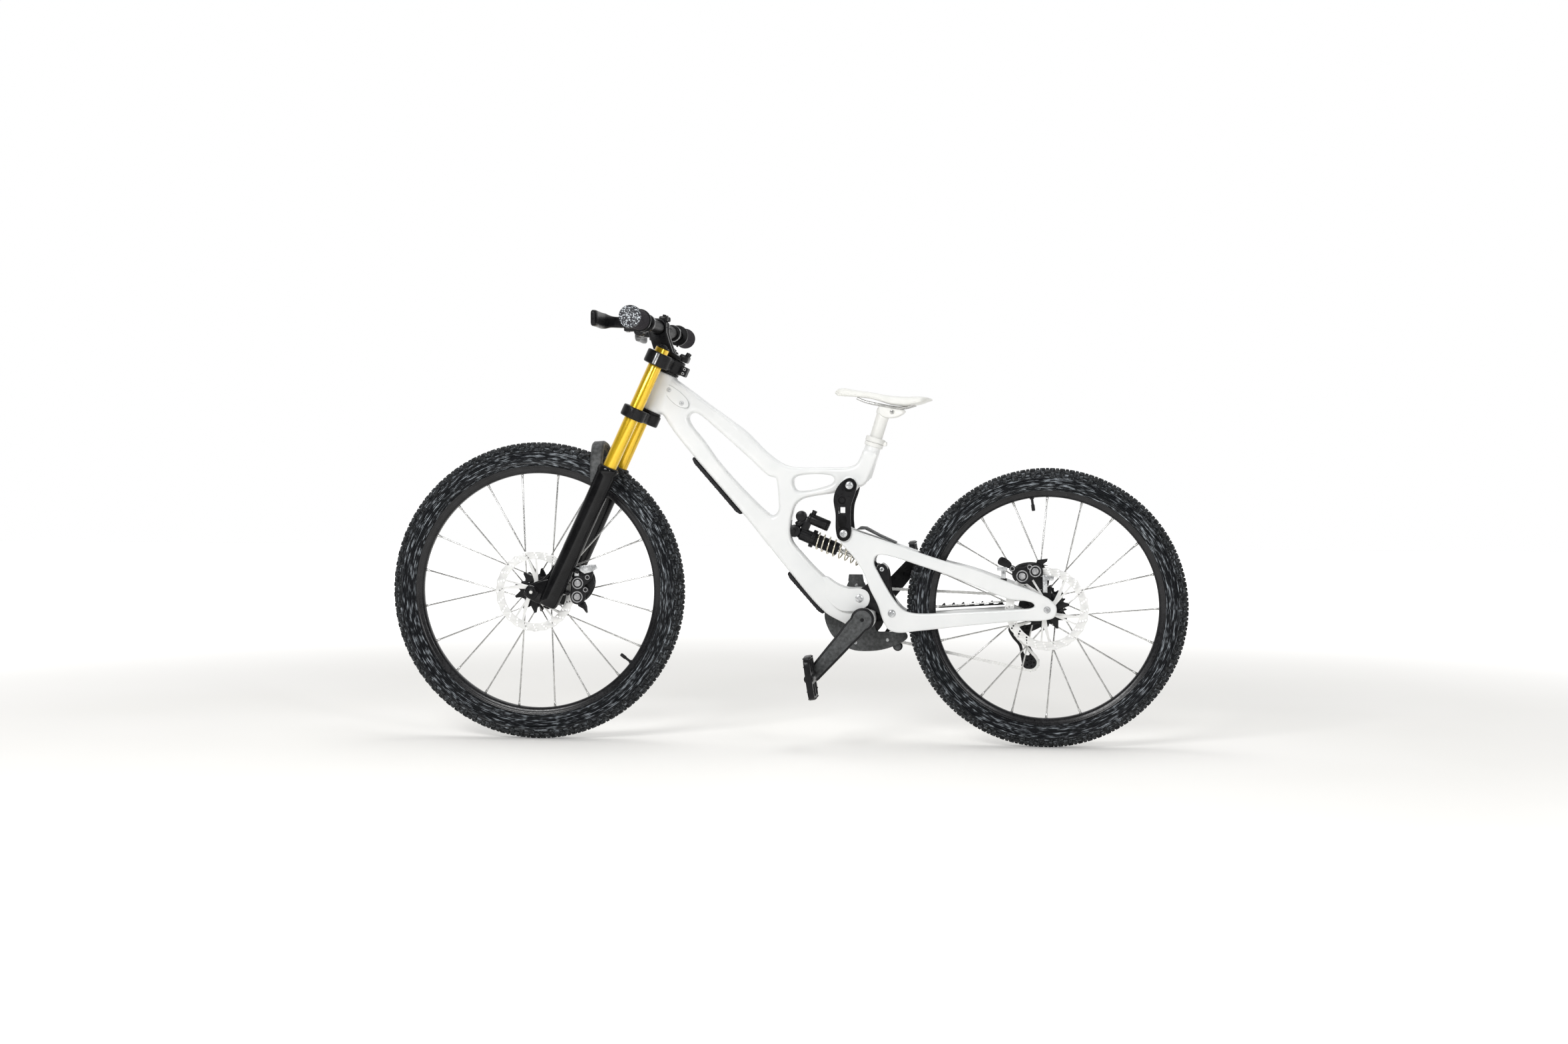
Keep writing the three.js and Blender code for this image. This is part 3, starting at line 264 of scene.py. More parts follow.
def black_plastic():
    look = Nodes("black_plastic", (0.012, 0.012, 0.013), 0.55, Specular_IOR_Level=0.25)
    look.tint(look.field(50, 5), (0.006, 0.006, 0.007), (0.018, 0.018, 0.020))
    look.rough(look.field(150, 4), 0.45, 0.65)
    look.bump(look.field(1400, 2), 0.00008, 0.7)
    return look.material


def grey_textured():
    look = Nodes("grey_textured", (0.05, 0.053, 0.055), 0.55)
    look.tint(look.field(120, 8), (0.030, 0.032, 0.033), (0.088, 0.092, 0.094), 0.35, 0.70)
    look.rough(look.field(300, 4), 0.45, 0.7)
    look.bump(look.field(420, 6), 0.00035, 0.7)
    return look.material


def grip_fuzz():
    look = Nodes("grip_fuzz", (0.012, 0.010, 0.013), 0.95, Specular_IOR_Level=0.15, Sheen_Weight=0.04)
    look.tint(look.field(380, 8), (0.004, 0.003, 0.005), (0.030, 0.025, 0.033), 0.38, 0.7)
    look.bump(look.field(520, 6), 0.0007, 0.9)
    return look.material


def grip_end_speckle():
    look = Nodes("grip_end_speckle", (0.02, 0.02, 0.025), 0.6)
    look.tint(look.field(330, 5), (0.012, 0.013, 0.018), (0.62, 0.66, 0.70), 0.53, 0.60)
    look.bump(look.field(330, 5), 0.0009, 0.8)
    return look.material


def gold():
    look = Nodes("gold_anodised", (0.90, 0.58, 0.015), 0.24, 0.62, Coat_Weight=0.8, Coat_Roughness=0.14)
    look.tint(look.field(9, 2, (1, 1, 0.3)), (0.86, 0.53, 0.012), (0.94, 0.62, 0.03))
    look.rough(look.field(26, 2, (1, 1, 0.2)), 0.20, 0.26)
    return look.material


def spring_steel():
    look = Nodes("spring_steel", (0.74, 0.69, 0.56), 0.26, 0.85)
    look.tint(look.field(160, 5), (0.62, 0.56, 0.42), (0.92, 0.89, 0.80))
    look.bump(look.field(800, 3), 0.00004, 0.5)
    return look.material


def silver_machined():
    look = Nodes("silver_machined", (0.70, 0.71, 0.72), 0.3, 0.55)
    look.tint(look.field(90, 6), (0.34, 0.35, 0.36), (0.74, 0.75, 0.76))
    look.rough(look.field(240, 4), 0.2, 0.42)
    look.bump(look.field(900, 3), 0.00005, 0.6)
    return look.material


def caliper_grey():
    look = Nodes("caliper_grey", (0.36, 0.36, 0.37), 0.35, 0.4)
    look.tint(look.field(140, 5), (0.24, 0.24, 0.25), (0.50, 0.50, 0.51))
    look.bump(look.field(900, 3), 0.00005, 0.6)
    return look.material


def steel():
    look = Nodes("steel_plain", (0.56, 0.56, 0.55), 0.25, 1.0)
    look.tint(look.field(140, 5), (0.42, 0.42, 0.41), (0.70, 0.70, 0.69))
    look.rough(look.field(260, 4), 0.18, 0.34)
    return look.material


def rotor_steel():
    look = Nodes("rotor_steel", (0.82, 0.82, 0.81), 0.36, 0.45)
    look.tint(look.field(60, 5), (0.76, 0.76, 0.75), (0.88, 0.88, 0.87))
    look.rough(look.wave(900, "X", 3), 0.28, 0.42)
    look.bump(look.field(800, 3), 0.00003, 0.5)
    return look.material


def chain_plate():
    look = Nodes("chain_plate", (0.88, 0.88, 0.86), 0.4, 0.2)
    look.tint(look.field(260, 5), (0.80, 0.80, 0.78), (0.95, 0.95, 0.93))
    look.rough(look.field(500, 4), 0.3, 0.5)
    return look.material


def rim_gloss():
    look = Nodes(
        "rim_gloss", (0.008, 0.008, 0.009), 0.28,
        Specular_IOR_Level=0.3, Coat_Weight=0.15, Coat_Roughness=0.12,
    )
    look.tint(look.field(40, 5), (0.005, 0.005, 0.006), (0.016, 0.016, 0.018))
    look.rough(look.field(200, 5), 0.2, 0.4)
    look.bump(look.field(900, 3), 0.00004, 0.5)
    return look.material


def tyre_rubber():
    """Fine lines run round the sidewall: the first UV axis is the way round, in metres. Where both noise
    fields are high the rubber is tinted light grey, a painted glint on its ridges.
    """
    look = Nodes("tyre_rubber", (0.012, 0.013, 0.015), 0.5, Specular_IOR_Level=0.25, coords="UV")
    ridge_streaks_and_glints = look.field(1, 2, (7, 430, 1))
    glint_patches = look.field(1, 2, (42, 130, 1))
    # Light grey where both fields are high: painted glints, highlights painted onto the sidewall ridges.
    both = look.add("ShaderNodeMath", operation="MULTIPLY")
    look.link(ridge_streaks_and_glints, both.inputs[0])
    look.link(glint_patches, both.inputs[1])
    look.tint(both.outputs[0], (0.006, 0.007, 0.009), (0.44, 0.48, 0.52), 0.27, 0.44)
    look.rough(ridge_streaks_and_glints, 0.32, 0.6)
    look.bump(ridge_streaks_and_glints, 0.0006, 0.6)
    return look.material


def knob_rubber():
    look = Nodes("knob_rubber", (0.012, 0.013, 0.014), 0.5, Specular_IOR_Level=0.25)
    look.tint(look.field(240, 6), (0.007, 0.008, 0.009), (0.10, 0.11, 0.12), 0.5, 0.72)
    look.rough(look.field(200, 4), 0.4, 0.65)
    look.bump(look.field(500, 4), 0.0003, 0.6)
    return look.material


LOOKS = {
    "white": (white_resin(), "frame_white"),
    "white_part": (white_matt(), "white_parts"),
    "saddle": (saddle_leather(), "saddle_cover"),
    "black": (black_anodised(), "black_alloy"),
    "fork": (fork_black(), "black_alloy"),
    "bar": (bar_gloss(), "bar_black"),
    "plastic": (black_plastic(), "guard_black"),
    "grey": (grey_textured(), "grey_alloy"),
    "guard_grey": (grey_textured(), "guard_black"),
    "grip": (grip_fuzz(), "grip_rubber"),
    "grip_end": (grip_end_speckle(), "grip_rubber"),
    "gold": (gold(), "gold_tube"),
    "spring": (spring_steel(), "spring_gold"),
    "silver": (silver_machined(), "silver_alloy"),
    # Painted shade for the joint round the cable port cover, on the frame's slot.
    "joint_shade_grey": (joint_shade_grey(), "frame_white"),
    "caliper_grey": (caliper_grey(), "silver_alloy"),
    "steel": (steel(), "steel"),
    "rotor": (rotor_steel(), "rotor_steel"),
    "chain": (chain_plate(), "chain_steel"),
    "rim": (rim_gloss(), "rim_black"),
    "tyre": (tyre_rubber(), "tyre_rubber"),
    "knob": (knob_rubber(), "tyre_rubber"),
    "sprocket": (black_anodised(), "black_steel"),
}


# ---- outlines ----
def mix(a, b, low, high, t):
    return a + (b - a) * ((t - low) / (high - low))


def curve_stretch(four, steps):
    """Steps along a smooth curve, from the second of four spots up to the third."""
    knots = [0.0]
    for p, q in zip(four, four[1:]):
        knots.append(knots[-1] + max((q - p).length, 1e-6) ** 0.5)
    stretch = []
    for k in range(steps):
        t = knots[1] + (knots[2] - knots[1]) * k / steps
        first = [mix(four[j], four[j + 1], knots[j], knots[j + 1], t) for j in range(3)]
        second = [mix(first[j], first[j + 1], knots[j], knots[j + 2], t) for j in range(2)]
        stretch.append(mix(second[0], second[1], knots[1], knots[2], t))
    return stretch


def smooth_loop(points, samples):
    """A closed curve through the points, stepped in proportion to their distances."""
    corners = [Vector(p) for p in points]
    count = len(corners)
    total = sum((corners[i - 1] - corners[i]).length for i in range(count))
    loop = []
    for i in range(count):
        four = [corners[(i + k - 1) % count] for k in range(4)]
        loop += curve_stretch(four, max(1, round(samples * (four[2] - four[1]).length / total)))
    return loop


def smooth_line(points, samples):
    """An open curve through three-dimensional points."""
    spots = [Vector(p) for p in points]
    spots = [2 * spots[0] - spots[1], *spots, 2 * spots[-1] - spots[-2]]
    total = sum((a - b).length for a, b in zip(spots[1:-1], spots[2:-1]))
    line = []
    for i in range(1, len(spots) - 2):
        four = spots[i - 1:i + 3]
        line += curve_stretch(four, max(1, round(samples * (four[2] - four[1]).length / total)))
    return [*line, spots[-2]]


def circle(centre, radius, count=48):
    angles = [2 * math.pi * i / count for i in range(count)]
    return [(centre[0] + radius * math.cos(a), centre[1] + radius * math.sin(a)) for a in angles]


def polar(centre, radius, degrees):
    angle = math.radians(degrees)
    return centre[0] + radius * math.cos(angle), centre[1] + radius * math.sin(angle)


def span(side, near, far):
    """Two distances out from the middle on one side of the bike, the lower value first."""
    return sorted((side * near, side * far))


def eased(value, start, end):
    """Runs smoothly from 0 to 1 as the value goes from start to end."""
    part = min(1, max(0, (value - start) / (end - start)))
    return part * part * (3 - 2 * part)


def across_axes(axis):
    """Two directions square to an axis."""
    axis = Vector(axis).normalized()
    side = Vector((0, 0, 1)) if abs(axis.z) < 0.9 else Vector((1, 0, 0))
    first = axis.cross(side).normalized()
    return first, axis.cross(first)


# ---- building ----
class Shape:
    """Closed shells in millimetres that together become one piece."""

    def __init__(self, place=SIDE):
        self.mesh = bmesh.new()
        self.place = place

    def loft(self, rings, closed=False):
        """Rings of points joined in turn; the ends are capped unless the last joins the first."""
        rows = [[self.mesh.verts.new(p) for p in ring] for ring in rings]
        count = len(rows[0])
        for a, b in zip(rows, rows[1:] + (rows[:1] if closed else [])):
            for i in range(count):
                j = (i + 1) % count
                self.mesh.faces.new((a[i], a[j], b[j], b[i]))
        if not closed:
            self.mesh.faces.new(rows[0][::-1])
            self.mesh.faces.new(rows[-1])

    def turn(self, profile, base=(0, 0, 0), axis=(0, 1, 0), sides=48, closed=False):
        """A shape turned about an axis, from (radius, distance along) pairs."""
        along = Vector(axis).normalized()
        first, second = across_axes(along)
        base = Vector(base)
        rings = []
        for radius, distance in profile:
            centre = base + along * distance
            angles = [2 * math.pi * i / sides for i in range(sides)]
            rings.append([centre + (first * math.cos(a) + second * math.sin(a)) * radius for a in angles])
        self.loft(rings, closed)

    def rod(self, start, end, radius, end_radius=None, edge=0.8, sides=32):
        start = Vector(start)
        along = Vector(end) - start
        length = along.length
        last = radius if end_radius is None else end_radius
        edge = min(edge, radius * 0.4, last * 0.4, length * 0.3)
        half = edge * 0.3
        profile = [
            (radius - edge, 0), (radius - half, half), (radius, edge),
            (last, length - edge), (last - half, length - half), (last - edge, length),
        ]
        self.turn(profile, start, along, sides)

    def across(self, spot, low, high, radius, **more):
        """A rod across the bike through a side-view point."""
        self.rod((spot[0], low, spot[1]), (spot[0], high, spot[1]), radius, **more)

    def ring(self, base, axis, inner, outer, width, edge=0.8, sides=48):
        profile = [
            (inner, edge), (inner + edge, 0), (outer - edge, 0), (outer, edge),
            (outer, width - edge), (outer - edge, width), (inner + edge, width), (inner, width - edge),
        ]
        self.turn(profile, base, axis, sides, closed=True)

    def plate(self, outline, low, high, holes=(), bevel=1.5, steps=2, turn=None):
        """A flat plate whose outline lies in the side view, with rounded edges."""
        curve = bpy.data.curves.new("outline", "CURVE")
        curve.dimensions = "2D"
        curve.fill_mode = "BOTH"
        for loop in (outline, *holes):
            spline = curve.splines.new("POLY")
            spline.points.add(len(loop) - 1)
            for point, (x, z) in zip(spline.points, loop):
                point.co = (x, z, 0, 1)
            spline.use_cyclic_u = True
        curve.extrude = (high - low) / 2 - bevel
        curve.bevel_depth = bevel
        curve.bevel_resolution = steps
        curve.offset = -bevel
        holder = bpy.data.objects.new("outline", curve)
        flat = bpy.data.meshes.new_from_object(holder)
        stand = Matrix(((1, 0, 0, 0), (0, 0, -1, (low + high) / 2), (0, 1, 0, 0), (0, 0, 0, 1)))
        flat.transform(turn @ stand if turn else stand)
        patch = bmesh.new()
        patch.from_mesh(flat)
        bmesh.ops.remove_doubles(patch, verts=patch.verts, dist=0.002)
        patch.to_mesh(flat)
        patch.free()
        self.mesh.from_mesh(flat)
        bpy.data.objects.remove(holder)
        bpy.data.curves.remove(curve)
        bpy.data.meshes.remove(flat)

    def block(self, low, high, bevel=1.0):
        """A box with rounded edges."""
        size = [b - a for a, b in zip(low, high)]
        centre = [(a + b) / 2 for a, b in zip(low, high)]
        place = Matrix.Translation(centre) @ Matrix.Diagonal((*size, 1))
        fresh = bmesh.ops.create_cube(self.mesh, size=1, matrix=place)["verts"]
        edges = {edge for vert in fresh for edge in vert.link_edges}
        bevel = min(bevel, min(size) * 0.4)
        bmesh.ops.bevel(self.mesh, geom=list(edges), offset=bevel, segments=2, affect="EDGES", profile=0.5)

    def sweep(self, points, radius, sides=16):
        """A tube along points."""
        spots = [Vector(p) for p in points]
        ends = [spots[0], *spots, spots[-1]]
        heads = [(after - before).normalized() for before, after in zip(ends, ends[2:])]
        first = across_axes(heads[0])[0]
        angles = [2 * math.pi * k / sides for k in range(sides)]
        rings = []
        for spot, head in zip(spots, heads):
            first = (first - head * first.dot(head)).normalized()
            second = head.cross(first)
            rings.append([
                spot + first * (math.cos(a) * radius) + second * (math.sin(a) * radius) for a in angles
            ])
        self.loft(rings)

    def screw(self, centre, axis, radius, height=None):
        """A domed screw head with a cross recess."""
        height = height or radius * 0.45
        along = Vector(axis).normalized()
        first, second = across_axes(along)
        centre = Vector(centre)
        sides = 24

        def ring(size, up, shape=lambda angle: 1.0):
            spots = []
            for i in range(sides):
                angle = 2 * math.pi * i / sides
                reach = size * shape(angle)
                way = first * math.cos(angle) + second * math.sin(angle)
                spots.append(centre + along * up + way * reach)
            return spots

        def cross(angle):
            part = abs((angle + math.pi / 4) % (math.pi / 2) - math.pi / 4)
            return 1.0 if part < 0.3 else 0.22 / math.sin(part)

        self.loft([
            ring(radius * 0.95, 0), ring(radius, height * 0.2), ring(radius * 0.97, height * 0.6),
            ring(radius * 0.82, height * 0.92), ring(radius * 0.62, height, cross),
            ring(radius * 0.55, height * 0.2, cross),
        ])

    def cut(self, x):
        """Adds points wherever the plane at x crosses the shells, so that they can bend there."""
        every = self.mesh.verts[:] + self.mesh.edges[:] + self.mesh.faces[:]
        bmesh.ops.bisect_plane(self.mesh, geom=every, plane_co=(x, 0, 0), plane_no=(1, 0, 0))

    def piece(self, name, look, body, *nodes, angle=35):
        """Turns the shells into one object in the row frame that rides on a body."""
        bmesh.ops.recalc_face_normals(self.mesh, faces=self.mesh.faces)
        data = bpy.data.meshes.new(name)
        self.mesh.to_mesh(data)
        self.mesh.free()
        data.transform(self.place)
        return finish_piece(name, data, look, body, nodes, angle)


def finish_piece(name, data, look, body, nodes=(), angle=35):
    obj = bpy.data.objects.new(name, data)
    bpy.context.collection.objects.link(obj)
    data.polygons.foreach_set("use_smooth", [True] * len(data.polygons))
    data.set_sharp_from_angle(angle=math.radians(angle))
    material, slot_name = LOOKS[look]
    data.materials.clear()
    data.materials.append(material)
    if body:
        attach(obj, body)
    if nodes:
        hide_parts(*nodes)
    return obj


def moulded(shape, voxel, smoothing, cutters=()):
    """One skin over all the shells, with its inner corners rounded, as a moulded part has."""
    bmesh.ops.recalc_face_normals(shape.mesh, faces=shape.mesh.faces)
    data = bpy.data.meshes.new("blank")
    shape.mesh.to_mesh(data)
    blank = bpy.data.objects.new("blank", data)
    bpy.context.collection.objects.link(blank)
    remesh = blank.modifiers.new("skin", "REMESH")
    remesh.mode = "VOXEL"
    remesh.voxel_size = voxel
    smooth = blank.modifiers.new("smooth", "SMOOTH")
    smooth.factor = 0.5
    smooth.iterations = smoothing
    tools = []
    for cutter in cutters:
        bmesh.ops.recalc_face_normals(cutter.mesh, faces=cutter.mesh.faces)
        tool_data = bpy.data.meshes.new("cutter")
        cutter.mesh.to_mesh(tool_data)
        tool = bpy.data.objects.new("cutter", tool_data)
        bpy.context.collection.objects.link(tool)
        cut = blank.modifiers.new("cut", "BOOLEAN")
        cut.operation = "DIFFERENCE"
        cut.solver = "EXACT"
        cut.object = tool
        tools.append(tool)
    graph = bpy.context.evaluated_depsgraph_get()
    skin = bpy.data.meshes.new_from_object(blank.evaluated_get(graph))
    for obj in (blank, *tools):
        old = obj.data
        bpy.data.objects.remove(obj)
        bpy.data.meshes.remove(old)
    skin.transform(shape.place)
    return skin


# ---- wheels ----
TYRE_PITCHES = 88
SPOKE_PAIRS = 10
SPOKE_CROSSING = 102
SPOKE_FLANGE = 29.3
FRONT_TYRE, FRONT_RIM, FRONT_RIM_BED = 374.3, 313, 296
REAR_TYRE, REAR_RIM, REAR_RIM_BED = 343.6, 287, 272
FRONT_ROTOR_Y = -38
REAR_ROTOR_Y = -55
CASING_RADIUS = 28
TREAD_HEIGHTS = ((CASING_RADIUS - 3, 1.25), (CASING_RADIUS + 1, 1.1), (32.2, 0.92), (33, 0.78))
BLOCK_CORNERS = ((-1, -0.8), (-0.8, -1), (0.8, -1), (1, -0.8), (1, 0.8), (0.8, 1), (-0.8, 1), (-1, 0.8))
# One lug of a hub flange, as (radius, degrees from its middle).
HUB_LUG = ((24, 33), (31, 30), (54, 20), (56, 15), (40, 0), (56, -15), (54, -20), (31, -30), (24, -33))


def tyre(end, centre, outer, rim):
    """A casing with fine ridges round its sidewalls, and rows of tread blocks."""
    middle_radius = outer - 33
    half = [(rim + 0.6, 13.0), (rim + 2.5, 17.5), (rim + 9, 24.2), (outer - 41, 28.6), (outer - 33, 29.4)]
    half += [
        (middle_radius + CASING_RADIUS * math.cos(a), CASING_RADIUS * math.sin(a) * (1 + 0.05 * math.sin(a)))
        for a in map(math.radians, (75, 60, 45, 30, 15, 0))
    ]
    line = smooth_line([(r, y, 0) for r, y in half], 76)
    profile = []
    for i, spot in enumerate(line):
        part = i / (len(line) - 1)
        ridge = 0.8 * math.sin(i * math.pi * 0.5) if 0.06 < part < 0.62 else 0.0
        lip = 1.4 * math.exp(-((part - 0.13) / 0.02) ** 2) + 1.6 * math.exp(-((part - 0.5) / 0.025) ** 2)
        profile.append((spot.x, spot.y + ridge + lip))
    profile = profile + [(r, -y) for r, y in reversed(profile[:-1])]
    steps = 220
    shape = Shape()
    rows = []
    for k in range(steps):
        angle = 2 * math.pi * k / steps
        rows.append([
            shape.mesh.verts.new((centre[0] + r * math.cos(angle), y, centre[1] + r * math.sin(angle)))
            for r, y in profile
        ])
    uv = shape.mesh.loops.layers.uv.new("UVMap")
    across_places = [0.0]
    for (r0, y0), (r1, y1) in zip(profile, profile[1:] + profile[:1]):
        across_places.append(across_places[-1] + math.hypot(r1 - r0, y1 - y0) * MM)
    for k in range(steps):
        after = rows[(k + 1) % steps]
        for i in range(len(profile)):
            j = (i + 1) % len(profile)
            face = shape.mesh.faces.new((rows[k][i], rows[k][j], after[j], after[i]))
            around = [k, k, k + 1, k + 1]
            beside = [i, i + 1, i + 1, i]
            for loop, a, b in zip(face.loops, around, beside):
                loop[uv].uv = (a / steps * 2 * math.pi * outer * MM, across_places[b])
    shape.piece(end + "_tyre_casing", "tyre", end + "_wheel", end + "_tyre")

    blocks = Shape()
    for k in range(TYRE_PITCHES):
        angle = 2 * math.pi * (k + 0.5) / TYRE_PITCHES
        shift = (k % 2) * 2 - 1
        rows = [(shift * 12, 13, 9.5), (-shift * 12, 11, 9.5), (0, 8, 7)]
        rows += [(side * 37, 14, 9) for side in (-1, 1)]
        rows += [(side * (59 + shift * 2), 12 + shift * 2, 10) for side in (-1, 1)]
        for lean_degrees, length, width in rows:
            step = angle + (0.5 * 2 * math.pi / TYRE_PITCHES if abs(lean_degrees) in (0, 37) else 0)
            lean = math.radians(lean_degrees)
            radial = Vector((math.cos(step), 0, math.sin(step)))
            round_way = Vector((-math.sin(step), 0, math.cos(step)))
            out = radial * math.cos(lean) + Vector((0, math.sin(lean), 0))
            beside = out.cross(round_way)
            base = Vector((centre[0], 0, centre[1])) + radial * middle_radius
            rings = []
            for height, size in TREAD_HEIGHTS:
                heart = base + out * height
                rings.append([
                    heart + round_way * (u * length / 2 * size) + beside * (v * width / 2 * size)
                    for u, v in BLOCK_CORNERS
                ])
            blocks.loft(rings)
    blocks.piece(end + "_tread_blocks", "knob", end + "_wheel", angle=30)


def rim(end, centre, outer, bed, valve_angle):
    """A hollow-sided hoop with a flat bed, and the valve that comes through it."""
    half = [
        (bed, 0), (bed + 0.2, 6), (bed + 2.0, 9.6), (bed + 6, 12.4), (bed + 11, 13.6), (outer - 2.5, 14.2),
        (outer - 1.4, 15.4), (outer + 1.2, 15.6), (outer + 1.6, 14.2),
    ]
    profile = half + [(r, -y) for r, y in reversed(half[1:])]
    shape = Shape()
    shape.turn(profile, (centre[0], 0, centre[1]), sides=180, closed=True)
    shape.piece(end + "_rim_hoop", "rim", end + "_wheel", end + "_rim", angle=50)
    valve = Shape()
    foot = Vector((*polar(centre, bed + 1, valve_angle), 0)).xzy
    way = (Vector((centre[0], 0, centre[1])) - foot).normalized()
    valve.rod(foot, foot + way * 4, 6, 5)
    valve.rod(foot, foot + way * 30, 3.2, edge=0.5)
    valve.rod(foot + way * 17, foot + way * 33, 4.2, edge=1.2)
    for k in range(4):
        valve.ring(foot + way * (19 + 3 * k), way, 4, 4.6, 1.4, 0.3, 24)
    valve.piece(end + "_valve", "plastic", end + "_wheel")


def spoke_ends(centre, bed, flange_y, first_angle):
    """Both ends and the side of every spoke: pairs cross once, and take turns on the two flanges."""
    spread = math.pi / (2 * SPOKE_PAIRS)
    for pair in range(SPOKE_PAIRS):
        turn = first_angle + 2 * math.pi * pair / SPOKE_PAIRS
        side = 1 if pair % 2 else -1
        for lean in (-1, 1):
            outer = Vector((bed * math.sin(lean * spread), bed * math.cos(spread)))
            inward = (Vector((0, SPOKE_CROSSING)) - outer).normalized()
            tangent = outer + inward * -outer.dot(inward)
            inner = tangent - inward * (math.sqrt(SPOKE_FLANGE ** 2 - tangent.length_squared) - 6)

            def place(spot, y):
                x = spot.x * math.cos(turn) + spot.y * math.sin(turn)
                z = -spot.x * math.sin(turn) + spot.y * math.cos(turn)
                return Vector((centre[0] + x, y, centre[1] + z))

            yield place(inner, side * flange_y + lean * 2.2), place(outer, 0), side


def wheel_core(end, centre, bed, flange_y, first_angle, hub_half, rotor_y, bore):
    """Spokes, nipples, and a hub whose flanges carry one lug for each pair of spokes."""
    body = end + "_wheel"
    spokes = Shape()
    nipples = Shape()
    for inner, outer, _ in spoke_ends(centre, bed, flange_y, first_angle):
        way = (inner - outer).normalized()
        spokes.rod(inner, outer, 1.9, edge=0.4, sides=14)
        nipples.rod(outer - way * 1, outer + way * 12, 3.2, 2.5, edge=0.6, sides=12)
    spokes.piece(end + "_spokes", "steel", body, end + "_hub")
    nipples.piece(end + "_nipples", "steel", body)

    hub = Shape()
    base = (centre[0], 0, centre[1])
    ends = [(bore, -hub_half), (13, -hub_half), (14, rotor_y - 3), (17, rotor_y - 2)]
    ends += [(20, rotor_y + 1.2), (23, rotor_y + 3), (26, -flange_y - 4)]
    ends += [(29, -flange_y - 2.5), (29, -flange_y + 2.5)]
    waist = [(22, -flange_y + 6), (18, -flange_y + 12), (16.5, 0), (18, flange_y - 12), (22, flange_y - 6)]
    rest = [(29, flange_y - 2.5), (29, flange_y + 2.5), (17, flange_y + 4)]
    rest += [(15, flange_y + 22), (13, hub_half)]
    hub.turn([*ends, *waist, *rest, (bore, hub_half)], base, sides=64, closed=True)
    for side in (-1, 1):
        lugs = []
        for pair in range(SPOKE_PAIRS):
            if (1 if pair % 2 else -1) != side:
                continue
            heading = 90 - math.degrees(first_angle + 2 * math.pi * pair / SPOKE_PAIRS)
            lugs += [polar(centre, reach, heading + offset) for reach, offset in HUB_LUG]
        hub.plate(lugs, side * flange_y - 3.5, side * flange_y + 3.5, bevel=1.2)
        for inner, outer, spoke_side in spoke_ends(centre, bed, flange_y, first_angle):
            if spoke_side == side:
                way = (outer - inner).normalized()
                hub.rod(inner + way * 2, inner + way * 21, 4.6, 3.0, sides=16)
    for k in range(6):
        x, z = polar(centre, 21, 60 * k + 14)
        hub.screw((x, rotor_y - 1.2, z), (0, -1, 0), 3.4)
    hub.piece(end + "_hub_shell", "black", body, angle=40)


def rotor(end, centre, y, first_angle):
    """A disc brake rotor: a drilled band on five forked arms."""
    arms = 5
    band_edge = 80
    holes = []
    for arm in range(arms):
        start = first_angle + 360 / arms * arm

        def at(radius, part):
            return polar(centre, radius, start + 360 / arms * part + (radius - 28) * 0.22)

        outer = [at(band_edge, 0.12 + 0.76 * k / 10) for k in range(11)]
        inner = [at(26, 0.84), at(21, 0.74), at(20, 0.5), at(21, 0.26), at(26, 0.16)]
        holes.append([*outer, *inner])
        holes.append([at(band_edge, -0.07), at(band_edge, 0.0), at(band_edge, 0.07), at(45, 0.0)])
    for k in range(24):
        for radius, shift in ((85, 0), (91, 2.2), (97, 4.4)):
            holes.append(circle(polar(centre, radius, first_angle + 15 * k + shift), 2.3, 10))
    holes.append(circle(centre, 15, 40))
    outline = []
    for k in range(240):
        wave = 0.9 * math.cos(math.radians(k * 1.5 * 24))
        outline.append(polar(centre, 101 + wave, k * 1.5))
    shape = Shape()
    shape.plate(outline, y - 1, y + 1, holes=holes, bevel=0.25, steps=1)
    shape.piece(end + "_brake_disc", "rotor", end + "_wheel", end + "_rotor", angle=25)


tyre("front", FRONT_AXLE, FRONT_TYRE, FRONT_RIM)
tyre("rear", REAR_AXLE, REAR_TYRE, REAR_RIM)
rim("front", FRONT_AXLE, FRONT_RIM, FRONT_RIM_BED, valve_angle=-37)
rim("rear", REAR_AXLE, REAR_RIM, REAR_RIM_BED, valve_angle=98)
wheel_core(
    "front", FRONT_AXLE, FRONT_RIM_BED, flange_y=28, first_angle=math.radians(-17.2),
    hub_half=54.5, rotor_y=FRONT_ROTOR_Y, bore=10,
)
wheel_core(
    "rear", REAR_AXLE, REAR_RIM_BED, flange_y=34, first_angle=math.radians(-9),
    hub_half=71, rotor_y=REAR_ROTOR_Y, bore=8.5,
)
rotor("front", FRONT_AXLE, FRONT_ROTOR_Y, first_angle=12)
rotor("rear", REAR_AXLE, REAR_ROTOR_Y, first_angle=40)


# ---- main frame ----
FRAME_OUTLINE = [
    (300, 905), (322, 920), (343, 911), (393, 877), (430, 849), (494, 803), (531, 775), (585, 722),
    (626, 694), (658, 687), (722, 687), (786, 689), (805, 697), (817, 719), (823, 733), (860, 722),
    (855, 707), (838, 664), (824, 643), (802, 636), (748, 623), (703, 616), (671, 608), (655, 595),
    (648, 576), (643, 551), (645, 507), (671, 475), (705, 438), (739, 408), (761, 393), (782, 388),
    (816, 381), (836, 373), (847, 358), (852, 340), (851, 312), (843, 291), (825, 282), (797, 288),
    (775, 301), (727, 328), (633, 434), (519, 574), (397, 714), (362, 756), (345, 778), (330, 800),
    (319, 818), (296, 831),
]
MAIN_WINDOW = [
    (384, 811), (396, 823), (408, 820), (464, 774), (532, 714), (590, 663), (603, 662), (608, 640),
    (611, 605), (611, 580), (597, 566), (582, 576), (532, 623), (464, 697), (419, 758), (392, 791),
]
